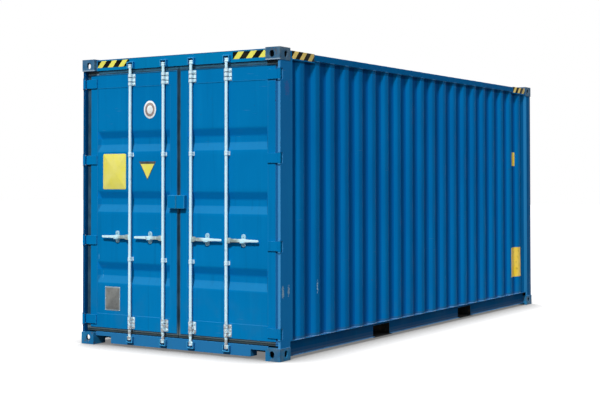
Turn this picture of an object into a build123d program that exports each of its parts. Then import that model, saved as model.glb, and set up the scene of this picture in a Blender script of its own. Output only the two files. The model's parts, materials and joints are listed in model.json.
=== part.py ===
from build123d import *
import os
from math import atan2, cos, sin, tan

# A 20 foot high-cube steel shipping container with double doors at one end.
# X runs along its length with the doors at the low end, Y across its width and Z up.
# The origin is on the ground at the middle of the footprint. All sizes are in millimetres.
# A depth is measured inward from the door end, a reach inward from the front end,
# and a half width outward from the lengthwise centre line.

# Overall envelope
LENGTH = 6058.0
WIDTH = 2438.0
HEIGHT = 2896.0

# Corner castings, with their twistlock slots placed from the container's ends and sides,
# and an upright hole in each outer wall, its rise measured from the slotted face
CASTING_LENGTH = 178.0
CASTING_WIDTH = 162.0
CASTING_HEIGHT = 118.0
CASTING_WALL = 15.0
CASTING_BACK = 10.0
CASTING_SOLE = 28.0
SLOT_LENGTH = 124.0
SLOT_WIDTH = 63.5
SLOT_FROM_END = 102.5
SLOT_FROM_SIDE = 89.5
HOLE_HEIGHT = 66.0
HOLE_WIDTH = 51.0
HOLE_RISE = 63.0

# Rear posts, with a recess for the door seal and a notch and two lugs at each hinge
POST_FRONT_DEPTH = 14.0
POST_BACK_DEPTH = 216.0
POST_SIDE_RECESS = 3.0
POST_THICKNESS = 44.0
POST_WALL = 6.0
POST_FLANGE = 26.0
POST_RECESS_BACK = 76.0
LOW_HINGE_HEIGHTS = (252.0, 1055.0)
HIGH_HINGE_DROPS = (1026.0, 248.0)
HINGE_NOTCH_HEIGHT = 120.0
HINGE_NOTCH_BACK = 54.0
HINGE_PIN_DEPTH = 16.0
HINGE_PIN_RECESS = 16.0
HINGE_PIN_RADIUS = 9.0
HINGE_BARREL_RADIUS = 15.0
HINGE_LUG_THICKNESS = 10.0
HINGE_END_PLAY = 1.5
BLADE_THICKNESS = 12.0
BLADE_HEIGHT = 90.0
BLADE_ON_LEAF = 85.0
NECK_WIDTH = 16.0
PIN_PLAY = 0.3

# Front posts, a pressed open section
FRONT_FACE_REACH = 10.0
FRONT_SIDE_RECESS = 5.0
FRONT_SLOPE_END = 264.0
FRONT_TAIL_END = 282.0
FRONT_FLANGE_WIDTH = 104.0
FRONT_FLANGE_SLOPE = 46.0
FRONT_TAIL_WIDTH = 24.0

# Floor line, rails, header and sill
FLOOR_TOP = 172.0
FLOOR_THICKNESS = 28.0
RAIL_BOTTOM = 26.0
RAIL_TOP_FLANGE = 48.0
RAIL_LOW_FLANGE = 30.0
RAIL_STEEL = 4.5
TOP_RAIL_SIZE = 60.0
TOP_RAIL_WALL = 3.0
TOP_RAIL_RECESS = 5.0
TOP_RAIL_DROP = 28.0
FRAME_WALL = 4.0
HEADER_FACE_DEPTH = 42.0
HEADER_BACK_DEPTH = 182.0
HEADER_DROP = 6.0
SILL_BOTTOM = 20.0
SILL_TOP = 128.0
SILL_BACK_DEPTH = 150.0
SILL_STEP_GAP = 8.0
SILL_NOTCH_WIDTH = 197.0
SILL_NOTCH_TOP = 88.0
FRONT_SILL_REACH = 110.0

# Corrugated sheets of the sides, the front and the roof
SHEET = 2.0
WAVE_OUTER = 72.0
WAVE_INNER = 70.0
WAVE_SLOPE = 68.0
WAVE_DEPTH = 36.0
WALL_RECESS = 8.0
FRONT_WAVE_OUTER = 110.0
FRONT_WAVE_INNER = 104.0
FRONT_WAVE_SLOPE = 18.0
FRONT_WAVE_DEPTH = 45.6
ROOF_WAVE_CROWN = 91.0
ROOF_WAVE_TROUGH = 55.0
ROOF_WAVE_SLOPE = 31.0
ROOF_WAVE_DEPTH = 18.0
ROOF_EDGE_RECESS = 34.0

# Plates over the top corners
REAR_PLATE_END = 843.0
FRONT_PLATE_END = 894.0
CORNER_PLATE_WIDTH = 300.0
CORNER_PLATE = 3.0
RAIL_PLATE_END = 604.0
RAIL_PLATE_OVERHANG = 21.0
RAIL_PLATE = 3.0

# Under the floor
CROSS_HEIGHT = 122.0
CROSS_TOP_FLANGE = 45.0
CROSS_LOW_FLANGE = 40.0
CROSS_STEEL = 4.0
CROSS_SPACING = 300.0
CROSS_GAP = 12.0
POCKET_OFFSET = 1025.0
POCKET_WIDTH = 360.0
POCKET_HEIGHT = 115.0
POCKET_STEEL = 3.0
POCKET_STRAP = 6.0
POCKET_STRAP_LENGTH = 230.0

# Door leaves
LEAF_FACE_DEPTH = 48.0
LEAF_THICKNESS = 50.0
LEAF_INNER = 23.0
LEAF_POST_GAP = 50.0
LEAF_TOP_GAP = 40.0
OUTER_STILE = 87.0
INNER_STILE = 81.0
TOP_BAR = 138.0
BOTTOM_BAR = 143.0
PANEL_INSET = 3.0
LOW_TROUGH_HEIGHTS = (731.0, 1448.5)
HIGH_TROUGH_DROP = 842.0
TROUGH_HEIGHT = 212.0
TROUGH_RUN = 75.0
TROUGH_END_RUN = 25.0
TROUGH_DEPTH = 35.0
TROUGH_MARGIN = 6.0
GASKET_FACE_DEPTH = 52.0
GASKET_THICKNESS = 23.0
GASKET_GAP = 5.0
GASKET_CENTRE = 3.5

# Lock rods, their cams, brackets and keepers
ROD_RADIUS = 15.0
ROD_DEPTH = 20.0
ROD_OFFSETS = {"outer": 595.0, "inner": 171.0}
ROD_BOTTOM = 75.0
ROD_TOP_DROP = 74.0
ROD_PLAY = 0.3
CAM_RADIUS = 18.0
CAM_HEIGHT = 36.0
CAM_NOSE = 28.0
CAM_NOSE_WIDTH = 20.0
KEEPER_GAP = 31.0
KEEPER_EAR = 8.0
KEEPER_FRONT_DEPTH = 8.0
KEEPER_OVERHANG = 28.0
KEEPER_BRIDGE = 10.0
BRACKET_WALL = 4.0
BRACKET_BASE = 5.0
BRACKET_HEIGHT = 118.0
BRACKET_HALF_WIDTH = 45.0
BRACKET_END_GAP = 12.0
GUIDE_HEIGHT = 40.0
GUIDE_HALF_WIDTH = 24.0
LOW_GUIDE_RISE = 148.0
HIGH_GUIDE_DROP = 135.0

# Handles and their retainers
HANDLE_HEIGHT = 1096.0
HANDLE_PIVOT_OFFSET = 36.0
HANDLE_LENGTH = 370.0
HANDLE_BAR = 32.0
HANDLE_THICKNESS = 10.0
HANDLE_PIN_RADIUS = 6.0
HANDLE_SIDE_PLAY = 1.0
HANDLE_REST_PLAY = 0.3
CHEEK_THICKNESS = 6.0
CHEEK_HALF_HEIGHT = 26.0
RETAINER_OFFSET = 183.0
RETAINER_HEIGHT = 121.0
RETAINER_HALF_WIDTH = 24.0
RETAINER_PLATE = 8.0
SHELF_THICKNESS = 6.0
SHELF_FRONT_DEPTH = 8.0
DOME_RADIUS = 12.0
DOME_HEIGHT = 7.0
DOME_OFFSET = 45.0

# Lock box, one half on each leaf
LOCK_BOX_INNER = 4.0
LOCK_BOX_OUTER = 102.0
LOCK_BOX_LOW = 1390.0
LOCK_BOX_HIGH = 1518.0
LOCK_BOX_FRONT_DEPTH = 4.0
LOCK_BOX_WALL = 4.0

# Values that follow from the sizes above
HALF_LENGTH = LENGTH / 2
HALF_WIDTH = WIDTH / 2
CASTING_INNER = HALF_WIDTH - CASTING_WIDTH
SLOT_X = HALF_LENGTH - SLOT_FROM_END
SLOT_Y = HALF_WIDTH - SLOT_FROM_SIDE
POST_TOP = HEIGHT - CASTING_HEIGHT
POST_OUTER = HALF_WIDTH - POST_SIDE_RECESS
POST_INNER = POST_OUTER - POST_THICKNESS
FLANGE_INNER = POST_OUTER - POST_FLANGE
PIN_HALF_WIDTH = HALF_WIDTH - HINGE_PIN_RECESS
HINGE_HEIGHTS = LOW_HINGE_HEIGHTS + tuple(HEIGHT - drop for drop in HIGH_HINGE_DROPS)
WALL_OUTER = HALF_WIDTH - WALL_RECESS
RAIL_WEB = WALL_OUTER - RAIL_TOP_FLANGE
TOP_RAIL_TOP = HEIGHT - TOP_RAIL_DROP
TOP_RAIL_BOTTOM = TOP_RAIL_TOP - TOP_RAIL_SIZE
TOP_RAIL_OUTER = HALF_WIDTH - TOP_RAIL_RECESS
TOP_RAIL_INNER = TOP_RAIL_OUTER - TOP_RAIL_SIZE
WALL_INNER_FLAT = WALL_OUTER - WAVE_DEPTH
FRONT_WALL_REACH = FRONT_FACE_REACH + FRONT_WAVE_DEPTH
FRONT_TAIL_START = HALF_WIDTH - FRONT_SIDE_RECESS - FRONT_FLANGE_WIDTH - FRONT_FLANGE_SLOPE
LEAF_OUTER = FLANGE_INNER - LEAF_POST_GAP
LEAF_BOTTOM = FLOOR_TOP
LEAF_TOP = POST_TOP - LEAF_TOP_GAP
LEAF_BACK_DEPTH = LEAF_FACE_DEPTH + LEAF_THICKNESS
PANEL_DEPTH = LEAF_FACE_DEPTH + PANEL_INSET
BARS_TOP = LEAF_TOP - TOP_BAR
BARS_BOTTOM = LEAF_BOTTOM + BOTTOM_BAR
PANEL_INNER = LEAF_INNER + INNER_STILE
PANEL_OUTER = LEAF_OUTER - OUTER_STILE
TROUGH_MIDDLES = LOW_TROUGH_HEIGHTS + (HEIGHT - HIGH_TROUGH_DROP,)
GUIDE_HEIGHTS = (TROUGH_MIDDLES[0] + LOW_GUIDE_RISE, TROUGH_MIDDLES[-1] - HIGH_GUIDE_DROP)
ROD_TOP = HEIGHT - ROD_TOP_DROP
HANDLE_FACE_DEPTH = ROD_DEPTH - HANDLE_THICKNESS / 2


def door_x(depth):
    """X of a plane that lies the given depth inward from the door end."""
    return depth - HALF_LENGTH


def front_x(reach):
    """X of a plane that lies the given reach inward from the front end."""
    return HALF_LENGTH - reach


def block(x_ends, y_ends, z_ends, mode=Mode.ADD):
    """A rectangular block between two ends along each axis, in either order."""
    ends = (x_ends, y_ends, z_ends)
    middle = [(low + high) / 2 for low, high in ends]
    with Locations(tuple(middle)):
        Box(*[abs(high - low) for low, high in ends], mode=mode)


def sheet_outline(line, thickness):
    """Closed outline of a bent sheet: the line itself and its mitred copy to the right."""
    turns = [atan2(after[1] - here[1], after[0] - here[0]) for here, after in zip(line, line[1:])]
    copy = []
    for (x, y), turn_in, turn_out in zip(line, turns[:1] + turns, turns + turns[-1:]):
        middle = (turn_in + turn_out) / 2
        mitre = thickness / cos((turn_out - turn_in) / 2)
        copy.append((x + mitre * sin(middle), y - mitre * cos(middle)))
    return list(line) + copy[::-1]


def across(points, side):
    """Plan points given as X and half width, put on the left (+1) or right (-1) side."""
    return [(x, side * half_width) for x, half_width in points]


def wave_line(room, outer, inner, slope, depth):
    """As many trapezoid waves as fit in the room, centred on zero, from and to an inner flat."""
    pitch = outer + inner + 2 * slope
    count = int((room + inner) // pitch)
    line = []
    for index in range(count):
        middle = (index - (count - 1) / 2) * pitch
        line.append((middle - outer / 2 - slope, 0.0))
        line.append((middle - outer / 2, depth))
        line.append((middle + outer / 2, depth))
        line.append((middle + outer / 2 + slope, 0.0))
    return line


def save(part, name):
    """Label a finished piece and write it as its own STEP file."""
    part.label = name
    export_step(part, f"parts/{name}.step")


def corner_castings(face_z, inward):
    """Four hollow castings whose slotted faces lie at face_z, opening away from inward."""
    with BuildPart() as castings:
        for end in (-1, 1):
            for side in (-1, 1):
                outer_x = end * HALF_LENGTH
                outer_y = side * HALF_WIDTH
                inner_x = end * (HALF_LENGTH - CASTING_LENGTH)
                inner_y = side * CASTING_INNER
                block((outer_x, inner_x), (outer_y, inner_y), (face_z, face_z + inward * CASTING_HEIGHT))
                block(
                    (outer_x - end * CASTING_WALL, inner_x + end * CASTING_BACK),
                    (outer_y - side * CASTING_WALL, inner_y + side * CASTING_BACK),
                    (face_z + inward * CASTING_SOLE, face_z + inward * (CASTING_HEIGHT - CASTING_BACK)),
                    Mode.SUBTRACT,
                )
                with BuildSketch(Plane.XY.offset(face_z)):
                    with Locations((end * SLOT_X, side * SLOT_Y)):
                        SlotOverall(SLOT_LENGTH, SLOT_WIDTH)
                extrude(amount=inward * CASTING_SOLE, mode=Mode.SUBTRACT)
                hole_z = face_z + inward * HOLE_RISE
                with BuildSketch(Plane.XZ.offset(-outer_y)):
                    with Locations((end * SLOT_X, hole_z)):
                        SlotOverall(HOLE_HEIGHT, HOLE_WIDTH, rotation=90)
                extrude(amount=side * CASTING_WALL, mode=Mode.SUBTRACT)
                with BuildSketch(Plane.YZ.offset(outer_x)):
                    with Locations((side * SLOT_Y, hole_z)):
                        SlotOverall(HOLE_HEIGHT, HOLE_WIDTH, rotation=90)
                extrude(amount=-end * CASTING_WALL, mode=Mode.SUBTRACT)
    return castings.part


def clear_of_castings(side, casting_x, beyond_x):
    """Cut a post so that it stands on its lower casting and rail and meets the upper ones."""
    y_inside = side * (CASTING_INNER - 2 * CASTING_WIDTH)
    y_casting = side * CASTING_INNER
    y_outside = side * (HALF_WIDTH + CASTING_WIDTH)
    end_x = casting_x + (casting_x - beyond_x)
    block((end_x, casting_x), (y_casting, y_outside), (POST_TOP, HEIGHT), Mode.SUBTRACT)
    block((casting_x, beyond_x), (y_inside, y_outside), (0, FLOOR_TOP), Mode.SUBTRACT)
    block((end_x, casting_x), (y_inside, y_casting), (0, FLOOR_TOP), Mode.SUBTRACT)


def rear_post(side):
    """A hollow post, recessed beside the leaf, with a notch, its floor and two pierced lugs at each hinge."""
    with BuildPart() as post:
        x_ends = (door_x(POST_FRONT_DEPTH), door_x(POST_BACK_DEPTH))
        block(x_ends, (side * POST_INNER, side * POST_OUTER), (CASTING_HEIGHT, TOP_RAIL_BOTTOM))
        block(
            (x_ends[0] + POST_WALL, x_ends[1] - POST_WALL),
            (side * (POST_INNER + POST_WALL), side * (POST_OUTER - POST_WALL)),
            (CASTING_HEIGHT, TOP_RAIL_BOTTOM),
            Mode.SUBTRACT,
        )
        recess_x = (x_ends[0], door_x(POST_RECESS_BACK))
        z_ends = (CASTING_HEIGHT, TOP_RAIL_BOTTOM)
        wall_y = (side * FLANGE_INNER, side * (FLANGE_INNER + POST_WALL))
        block(recess_x, (side * POST_INNER, side * FLANGE_INNER), z_ends, Mode.SUBTRACT)
        block(recess_x, wall_y, z_ends)
        block((recess_x[1], recess_x[1] + POST_WALL), (side * POST_INNER, wall_y[1]), z_ends)
        clear_of_castings(side, door_x(CASTING_LENGTH), door_x(2 * CASTING_LENGTH))
        floor_ends = (door_x(HINGE_NOTCH_BACK), door_x(HINGE_NOTCH_BACK) + POST_WALL)
        for height in HINGE_HEIGHTS:
            low = height - HINGE_NOTCH_HEIGHT / 2
            high = height + HINGE_NOTCH_HEIGHT / 2
            y_ends = (side * FLANGE_INNER, side * POST_OUTER)
            block((x_ends[0], floor_ends[0]), y_ends, (low, high), Mode.SUBTRACT)
            block(floor_ends, y_ends, (low, high))
            for lug_low in (low, high - HINGE_LUG_THICKNESS):
                block((x_ends[0], floor_ends[0]), y_ends, (lug_low, lug_low + HINGE_LUG_THICKNESS))
                with BuildSketch(Plane.XY.offset(lug_low)):
                    with Locations((door_x(HINGE_PIN_DEPTH), side * PIN_HALF_WIDTH)):
                        Circle(HINGE_BARREL_RADIUS)
                extrude(amount=HINGE_LUG_THICKNESS)
                with BuildSketch(Plane.XY.offset(lug_low)):
                    with Locations((door_x(HINGE_PIN_DEPTH), side * PIN_HALF_WIDTH)):
                        Circle(HINGE_PIN_RADIUS + PIN_PLAY)
                extrude(amount=HINGE_LUG_THICKNESS, mode=Mode.SUBTRACT)
    return post.part


def front_post(side):
    """A post pressed from one sheet: a sloped side, a corner and a sloped front flange."""
    outer = HALF_WIDTH - FRONT_SIDE_RECESS
    side_tail = WALL_INNER_FLAT + POST_WALL
    front_tail = FRONT_WALL_REACH - POST_WALL
    line = [
        (front_x(FRONT_TAIL_END), side_tail),
        (front_x(FRONT_SLOPE_END), side_tail),
        (front_x(CASTING_LENGTH), outer),
        (front_x(FRONT_FACE_REACH), outer),
        (front_x(FRONT_FACE_REACH), FRONT_TAIL_START + FRONT_FLANGE_SLOPE),
        (front_x(front_tail), FRONT_TAIL_START),
        (front_x(front_tail), FRONT_TAIL_START - FRONT_TAIL_WIDTH),
    ]
    with BuildPart() as post:
        with BuildSketch(Plane.XY.offset(CASTING_HEIGHT)):
            Polygon(*across(sheet_outline(line, POST_WALL), side), align=None)
        extrude(amount=TOP_RAIL_BOTTOM - CASTING_HEIGHT)
        clear_of_castings(side, front_x(CASTING_LENGTH), front_x(2 * CASTING_LENGTH))
    return post.part


def top_rail(side):
    """A square tube from casting to casting under the edge of the roof."""
    middle = (side * (TOP_RAIL_OUTER + TOP_RAIL_INNER) / 2, (TOP_RAIL_TOP + TOP_RAIL_BOTTOM) / 2)
    with BuildPart() as rail:
        with BuildSketch(Plane.YZ):
            with Locations(middle):
                Rectangle(TOP_RAIL_SIZE, TOP_RAIL_SIZE)
                inside = TOP_RAIL_SIZE - 2 * TOP_RAIL_WALL
                Rectangle(inside, inside, mode=Mode.SUBTRACT)
        extrude(amount=HALF_LENGTH - CASTING_LENGTH, both=True)
    return rail.part


def bottom_rail(side):
    """A channel that opens outward: an unbroken angle on three lengths between the fork pockets."""
    line = [
        (RAIL_WEB + RAIL_LOW_FLANGE, RAIL_BOTTOM),
        (RAIL_WEB, RAIL_BOTTOM),
        (RAIL_WEB, FLOOR_TOP),
        (WALL_OUTER, FLOOR_TOP),
    ]
    outline = [(side * half_width, z) for half_width, z in sheet_outline(line, RAIL_STEEL)]
    with BuildPart() as rail:
        with BuildSketch(Plane.YZ):
            Polygon(*outline, align=None)
        extrude(amount=HALF_LENGTH - CASTING_LENGTH, both=True)
        for end in (-1, 1):
            middle = end * POCKET_OFFSET
            block(
                (middle - POCKET_WIDTH / 2, middle + POCKET_WIDTH / 2),
                (side * RAIL_WEB, side * HALF_WIDTH),
                (RAIL_BOTTOM, RAIL_BOTTOM + POCKET_HEIGHT),
                Mode.SUBTRACT,
            )
    pocket_line = Plane.XY.offset(RAIL_BOTTOM + POCKET_HEIGHT)
    angle = split(rail.part, bisect_by=pocket_line, keep=Keep.TOP)
    lengths = split(rail.part, bisect_by=pocket_line, keep=Keep.BOTTOM)
    return Compound(angle.solids() + lengths.solids())


def side_wall(side):
    """A corrugated sheet of upright trapezoid waves between the two rails."""
    room = LENGTH - 2 * FRONT_TAIL_END
    line = wave_line(room, WAVE_OUTER, WAVE_INNER, WAVE_SLOPE, WAVE_DEPTH)
    line = [(x, WALL_INNER_FLAT + out) for x, out in line]
    line.insert(0, (door_x(POST_BACK_DEPTH), WALL_INNER_FLAT))
    line.append((front_x(FRONT_SLOPE_END), WALL_INNER_FLAT))
    with BuildPart() as wall:
        with BuildSketch(Plane.XY.offset(FLOOR_TOP)):
            Polygon(*across(sheet_outline(line, SHEET), side), align=None)
        extrude(amount=TOP_RAIL_BOTTOM - FLOOR_TOP)
    return wall.part


def door_frame(side):
    """The four welded bars round a leaf, as one frame."""
    x_ends = (door_x(LEAF_FACE_DEPTH), door_x(LEAF_BACK_DEPTH))
    with BuildPart() as frame:
        block(x_ends, (side * LEAF_INNER, side * LEAF_OUTER), (LEAF_BOTTOM, LEAF_TOP))
        block(x_ends, (side * PANEL_INNER, side * PANEL_OUTER), (BARS_BOTTOM, BARS_TOP), Mode.SUBTRACT)
    return frame.part


def trough(depths, middle, sizes, mode):
    """One pressed trough: a loft from its mouth to its smaller floor."""
    sections = []
    for depth, (width, height) in zip(depths, sizes):
        with BuildSketch(Plane.YZ.offset(door_x(depth))) as section:
            with Locations(middle):
                Rectangle(width, height)
        sections.append(section.sketch)
    loft(sections, mode=mode)


def sheet_wraps(run):
    """How far the back of a pressed slope stands out beyond its front, at the mouth and at the floor."""
    slope = atan2(TROUGH_DEPTH, run)
    mouth_wrap = SHEET / sin(slope)
    return mouth_wrap, mouth_wrap - SHEET / tan(slope)


def door_panel(side):
    """A thin sheet in the frame with three wide troughs pressed inward."""
    mouth_width = PANEL_OUTER - PANEL_INNER - 2 * TROUGH_MARGIN
    floor_width = mouth_width - 2 * TROUGH_END_RUN
    floor_height = TROUGH_HEIGHT - 2 * TROUGH_RUN
    mouth = (mouth_width, TROUGH_HEIGHT)
    floor = (floor_width, floor_height)
    end_wraps = sheet_wraps(TROUGH_END_RUN)
    side_wraps = sheet_wraps(TROUGH_RUN)
    outer_sizes = (
        (mouth_width + 2 * end_wraps[0], TROUGH_HEIGHT + 2 * side_wraps[0]),
        (floor_width + 2 * end_wraps[1], floor_height + 2 * side_wraps[1]),
    )
    floor_depth = PANEL_DEPTH + TROUGH_DEPTH
    with BuildPart() as panel:
        block(
            (door_x(PANEL_DEPTH), door_x(PANEL_DEPTH + SHEET)),
            (side * PANEL_INNER, side * PANEL_OUTER),
            (BARS_BOTTOM, BARS_TOP),
        )
        for height in TROUGH_MIDDLES:
            middle = (side * (PANEL_INNER + PANEL_OUTER) / 2, height)
            trough((PANEL_DEPTH, floor_depth + SHEET), middle, outer_sizes, Mode.ADD)
            trough((PANEL_DEPTH, floor_depth), middle, (mouth, floor), Mode.SUBTRACT)
    return panel.part


def door_gasket(side):
    """A rubber band round the edge of a leaf that stops short of the frame it seals to."""
    x_ends = (door_x(GASKET_FACE_DEPTH), door_x(GASKET_FACE_DEPTH + GASKET_THICKNESS))
    with BuildPart() as gasket:
        block(
            x_ends,
            (side * GASKET_CENTRE, side * (FLANGE_INNER - GASKET_GAP)),
            (SILL_TOP + GASKET_GAP, POST_TOP - GASKET_GAP),
        )
        block(x_ends, (side * LEAF_INNER, side * LEAF_OUTER), (LEAF_BOTTOM, LEAF_TOP), Mode.SUBTRACT)
    return gasket.part


def door_hinges(side):
    """Four cranked blades, each with its barrel and pin."""
    pin = (door_x(HINGE_PIN_DEPTH), side * PIN_HALF_WIDTH)
    barrel_height = HINGE_NOTCH_HEIGHT - 2 * HINGE_LUG_THICKNESS - 2 * HINGE_END_PLAY
    blade_end = LEAF_OUTER - BLADE_ON_LEAF
    blade_x = (door_x(LEAF_FACE_DEPTH - BLADE_THICKNESS), door_x(LEAF_FACE_DEPTH))
    neck_y = (side * (PIN_HALF_WIDTH - NECK_WIDTH / 2), side * (PIN_HALF_WIDTH + NECK_WIDTH / 2))
    with BuildPart() as hinges:
        for height in HINGE_HEIGHTS:
            z_ends = (height - BLADE_HEIGHT / 2, height + BLADE_HEIGHT / 2)
            block(blade_x, (side * blade_end, neck_y[1]), z_ends)
            block((pin[0], blade_x[1]), neck_y, z_ends)
            with Locations((pin[0], pin[1], height)):
                Cylinder(HINGE_BARREL_RADIUS, barrel_height)
                Cylinder(HINGE_PIN_RADIUS, HINGE_NOTCH_HEIGHT)
    return hinges.part


def rod_places(side):
    """The plan places of the two rods on one leaf, outer first."""
    return [(door_x(ROD_DEPTH), side * offset) for offset in ROD_OFFSETS.values()]


def bearing(rod_x, rod_y, z_middle, height, half_width, seat_depth):
    """A foot plate on the leaf and a block round the rod, bored for it."""
    z_ends = (z_middle - height / 2, z_middle + height / 2)
    outer = ROD_RADIUS + ROD_PLAY + BRACKET_WALL
    seat_x = door_x(seat_depth)
    block((seat_x - BRACKET_BASE, seat_x), (rod_y - half_width, rod_y + half_width), z_ends)
    block((rod_x, seat_x), (rod_y - outer, rod_y + outer), z_ends)
    with Locations((rod_x, rod_y, z_middle)):
        Cylinder(outer, height)
        Cylinder(ROD_RADIUS + ROD_PLAY, height, mode=Mode.SUBTRACT)


def rod_brackets(side):
    """Tall brackets on the top and bottom bars and small guides on the panel."""
    low = LEAF_BOTTOM + BRACKET_END_GAP + BRACKET_HEIGHT / 2
    high = LEAF_TOP - BRACKET_END_GAP - BRACKET_HEIGHT / 2
    with BuildPart() as brackets:
        for rod_x, rod_y in rod_places(side):
            for height in (low, high):
                bearing(rod_x, rod_y, height, BRACKET_HEIGHT, BRACKET_HALF_WIDTH, LEAF_FACE_DEPTH)
            for height in GUIDE_HEIGHTS:
                bearing(rod_x, rod_y, height, GUIDE_HEIGHT, GUIDE_HALF_WIDTH, PANEL_DEPTH)
    return brackets.part


def handle_retainers(side):
    """A plate, a shelf that carries the handle and a dome above and below it."""
    plate_x = (door_x(PANEL_DEPTH - RETAINER_PLATE), door_x(PANEL_DEPTH))
    shelf_top = HANDLE_HEIGHT - HANDLE_BAR / 2 - HANDLE_REST_PLAY
    with BuildPart() as retainers:
        for rod_x, rod_y in rod_places(side):
            middle = rod_y + side * RETAINER_OFFSET
            y_ends = (middle - RETAINER_HALF_WIDTH, middle + RETAINER_HALF_WIDTH)
            block(plate_x, y_ends, (HANDLE_HEIGHT - RETAINER_HEIGHT / 2, HANDLE_HEIGHT + RETAINER_HEIGHT / 2))
            block((door_x(SHELF_FRONT_DEPTH), plate_x[0]), y_ends, (shelf_top - SHELF_THICKNESS, shelf_top))
            for offset in (-DOME_OFFSET, DOME_OFFSET):
                with BuildSketch(Plane.YZ.offset(plate_x[0])):
                    with Locations((middle, HANDLE_HEIGHT + offset)):
                        Circle(DOME_RADIUS)
                extrude(amount=-DOME_HEIGHT)
    return retainers.part


def lock_box(side):
    """Half of a box over the closing gap, open below and towards the other half."""
    with BuildPart() as box:
        block(
            (door_x(LOCK_BOX_FRONT_DEPTH), door_x(LEAF_FACE_DEPTH)),
            (side * LOCK_BOX_INNER, side * LOCK_BOX_OUTER),
            (LOCK_BOX_LOW, LOCK_BOX_HIGH),
        )
        block(
            (door_x(LOCK_BOX_FRONT_DEPTH + LOCK_BOX_WALL), door_x(LEAF_FACE_DEPTH)),
            (side * LOCK_BOX_INNER, side * (LOCK_BOX_OUTER - LOCK_BOX_WALL)),
            (LOCK_BOX_LOW, LOCK_BOX_HIGH - LOCK_BOX_WALL),
            Mode.SUBTRACT,
        )
    return box.part


def lock_rod(side, offset):
    """A rod with a nosed cam at both ends and a cheeked lug with the handle's pin."""
    rod_x = door_x(ROD_DEPTH)
    rod_y = side * offset
    cheek_gap = HANDLE_THICKNESS / 2 + HANDLE_SIDE_PLAY
    pivot_y = rod_y + side * HANDLE_PIVOT_OFFSET
    with BuildPart() as rod:
        with Locations((rod_x, rod_y, (ROD_TOP + ROD_BOTTOM) / 2)):
            Cylinder(ROD_RADIUS, ROD_TOP - ROD_BOTTOM)
        for low in (ROD_BOTTOM, ROD_TOP - CAM_HEIGHT):
            with Locations((rod_x, rod_y, low + CAM_HEIGHT / 2)):
                Cylinder(CAM_RADIUS, CAM_HEIGHT)
            block(
                (rod_x - CAM_NOSE_WIDTH / 2, rod_x + CAM_NOSE_WIDTH / 2),
                (rod_y, rod_y + side * CAM_NOSE),
                (low, low + CAM_HEIGHT),
            )
        for way in (-1, 1):
            block(
                (rod_x + way * cheek_gap, rod_x + way * (cheek_gap + CHEEK_THICKNESS)),
                (rod_y, pivot_y),
                (HANDLE_HEIGHT - CHEEK_HALF_HEIGHT, HANDLE_HEIGHT + CHEEK_HALF_HEIGHT),
            )
        with BuildSketch(Plane.YZ.offset(rod_x - cheek_gap - CHEEK_THICKNESS)):
            with Locations((pivot_y, HANDLE_HEIGHT)):
                Circle(CHEEK_HALF_HEIGHT)
        extrude(amount=CHEEK_THICKNESS)
        with BuildSketch(Plane.YZ.offset(rod_x + cheek_gap)):
            with Locations((pivot_y, HANDLE_HEIGHT)):
                Circle(CHEEK_HALF_HEIGHT)
        extrude(amount=CHEEK_THICKNESS)
        with BuildSketch(Plane.YZ.offset(rod_x)):
            with Locations((pivot_y, HANDLE_HEIGHT)):
                Circle(HANDLE_PIN_RADIUS)
        extrude(amount=cheek_gap + CHEEK_THICKNESS, both=True)
    return rod.part


def handle(side, offset):
    """A flat bar with a round, bored end at its pivot and a rounded grip end."""
    pivot_y = side * (offset + HANDLE_PIVOT_OFFSET)
    tip_y = side * (offset + HANDLE_LENGTH - HANDLE_BAR / 2)
    with BuildPart() as bar:
        with BuildSketch(Plane.YZ.offset(door_x(HANDLE_FACE_DEPTH))):
            with Locations(((pivot_y + tip_y) / 2, HANDLE_HEIGHT)):
                SlotCenterToCenter(abs(tip_y - pivot_y), HANDLE_BAR)
            with Locations((pivot_y, HANDLE_HEIGHT)):
                Circle(HANDLE_PIN_RADIUS + PIN_PLAY, mode=Mode.SUBTRACT)
        extrude(amount=HANDLE_THICKNESS)
    return bar.part


os.makedirs("parts", exist_ok=True)

save(corner_castings(0, 1), "bottom_corner_castings")
save(corner_castings(HEIGHT, -1), "top_corner_castings")

# Header: a box beam over the doors, between the two top castings
with BuildPart() as door_header:
    header_x = (door_x(HEADER_FACE_DEPTH), door_x(HEADER_BACK_DEPTH))
    header_z = (POST_TOP, HEIGHT - HEADER_DROP)
    block(header_x, (-CASTING_INNER, CASTING_INNER), header_z)
    block(
        (header_x[0] + FRAME_WALL, header_x[1] - FRAME_WALL),
        (-CASTING_INNER, CASTING_INNER),
        (header_z[0] + FRAME_WALL, header_z[1] - FRAME_WALL),
        Mode.SUBTRACT,
    )
save(door_header.part, "door_header")

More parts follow.
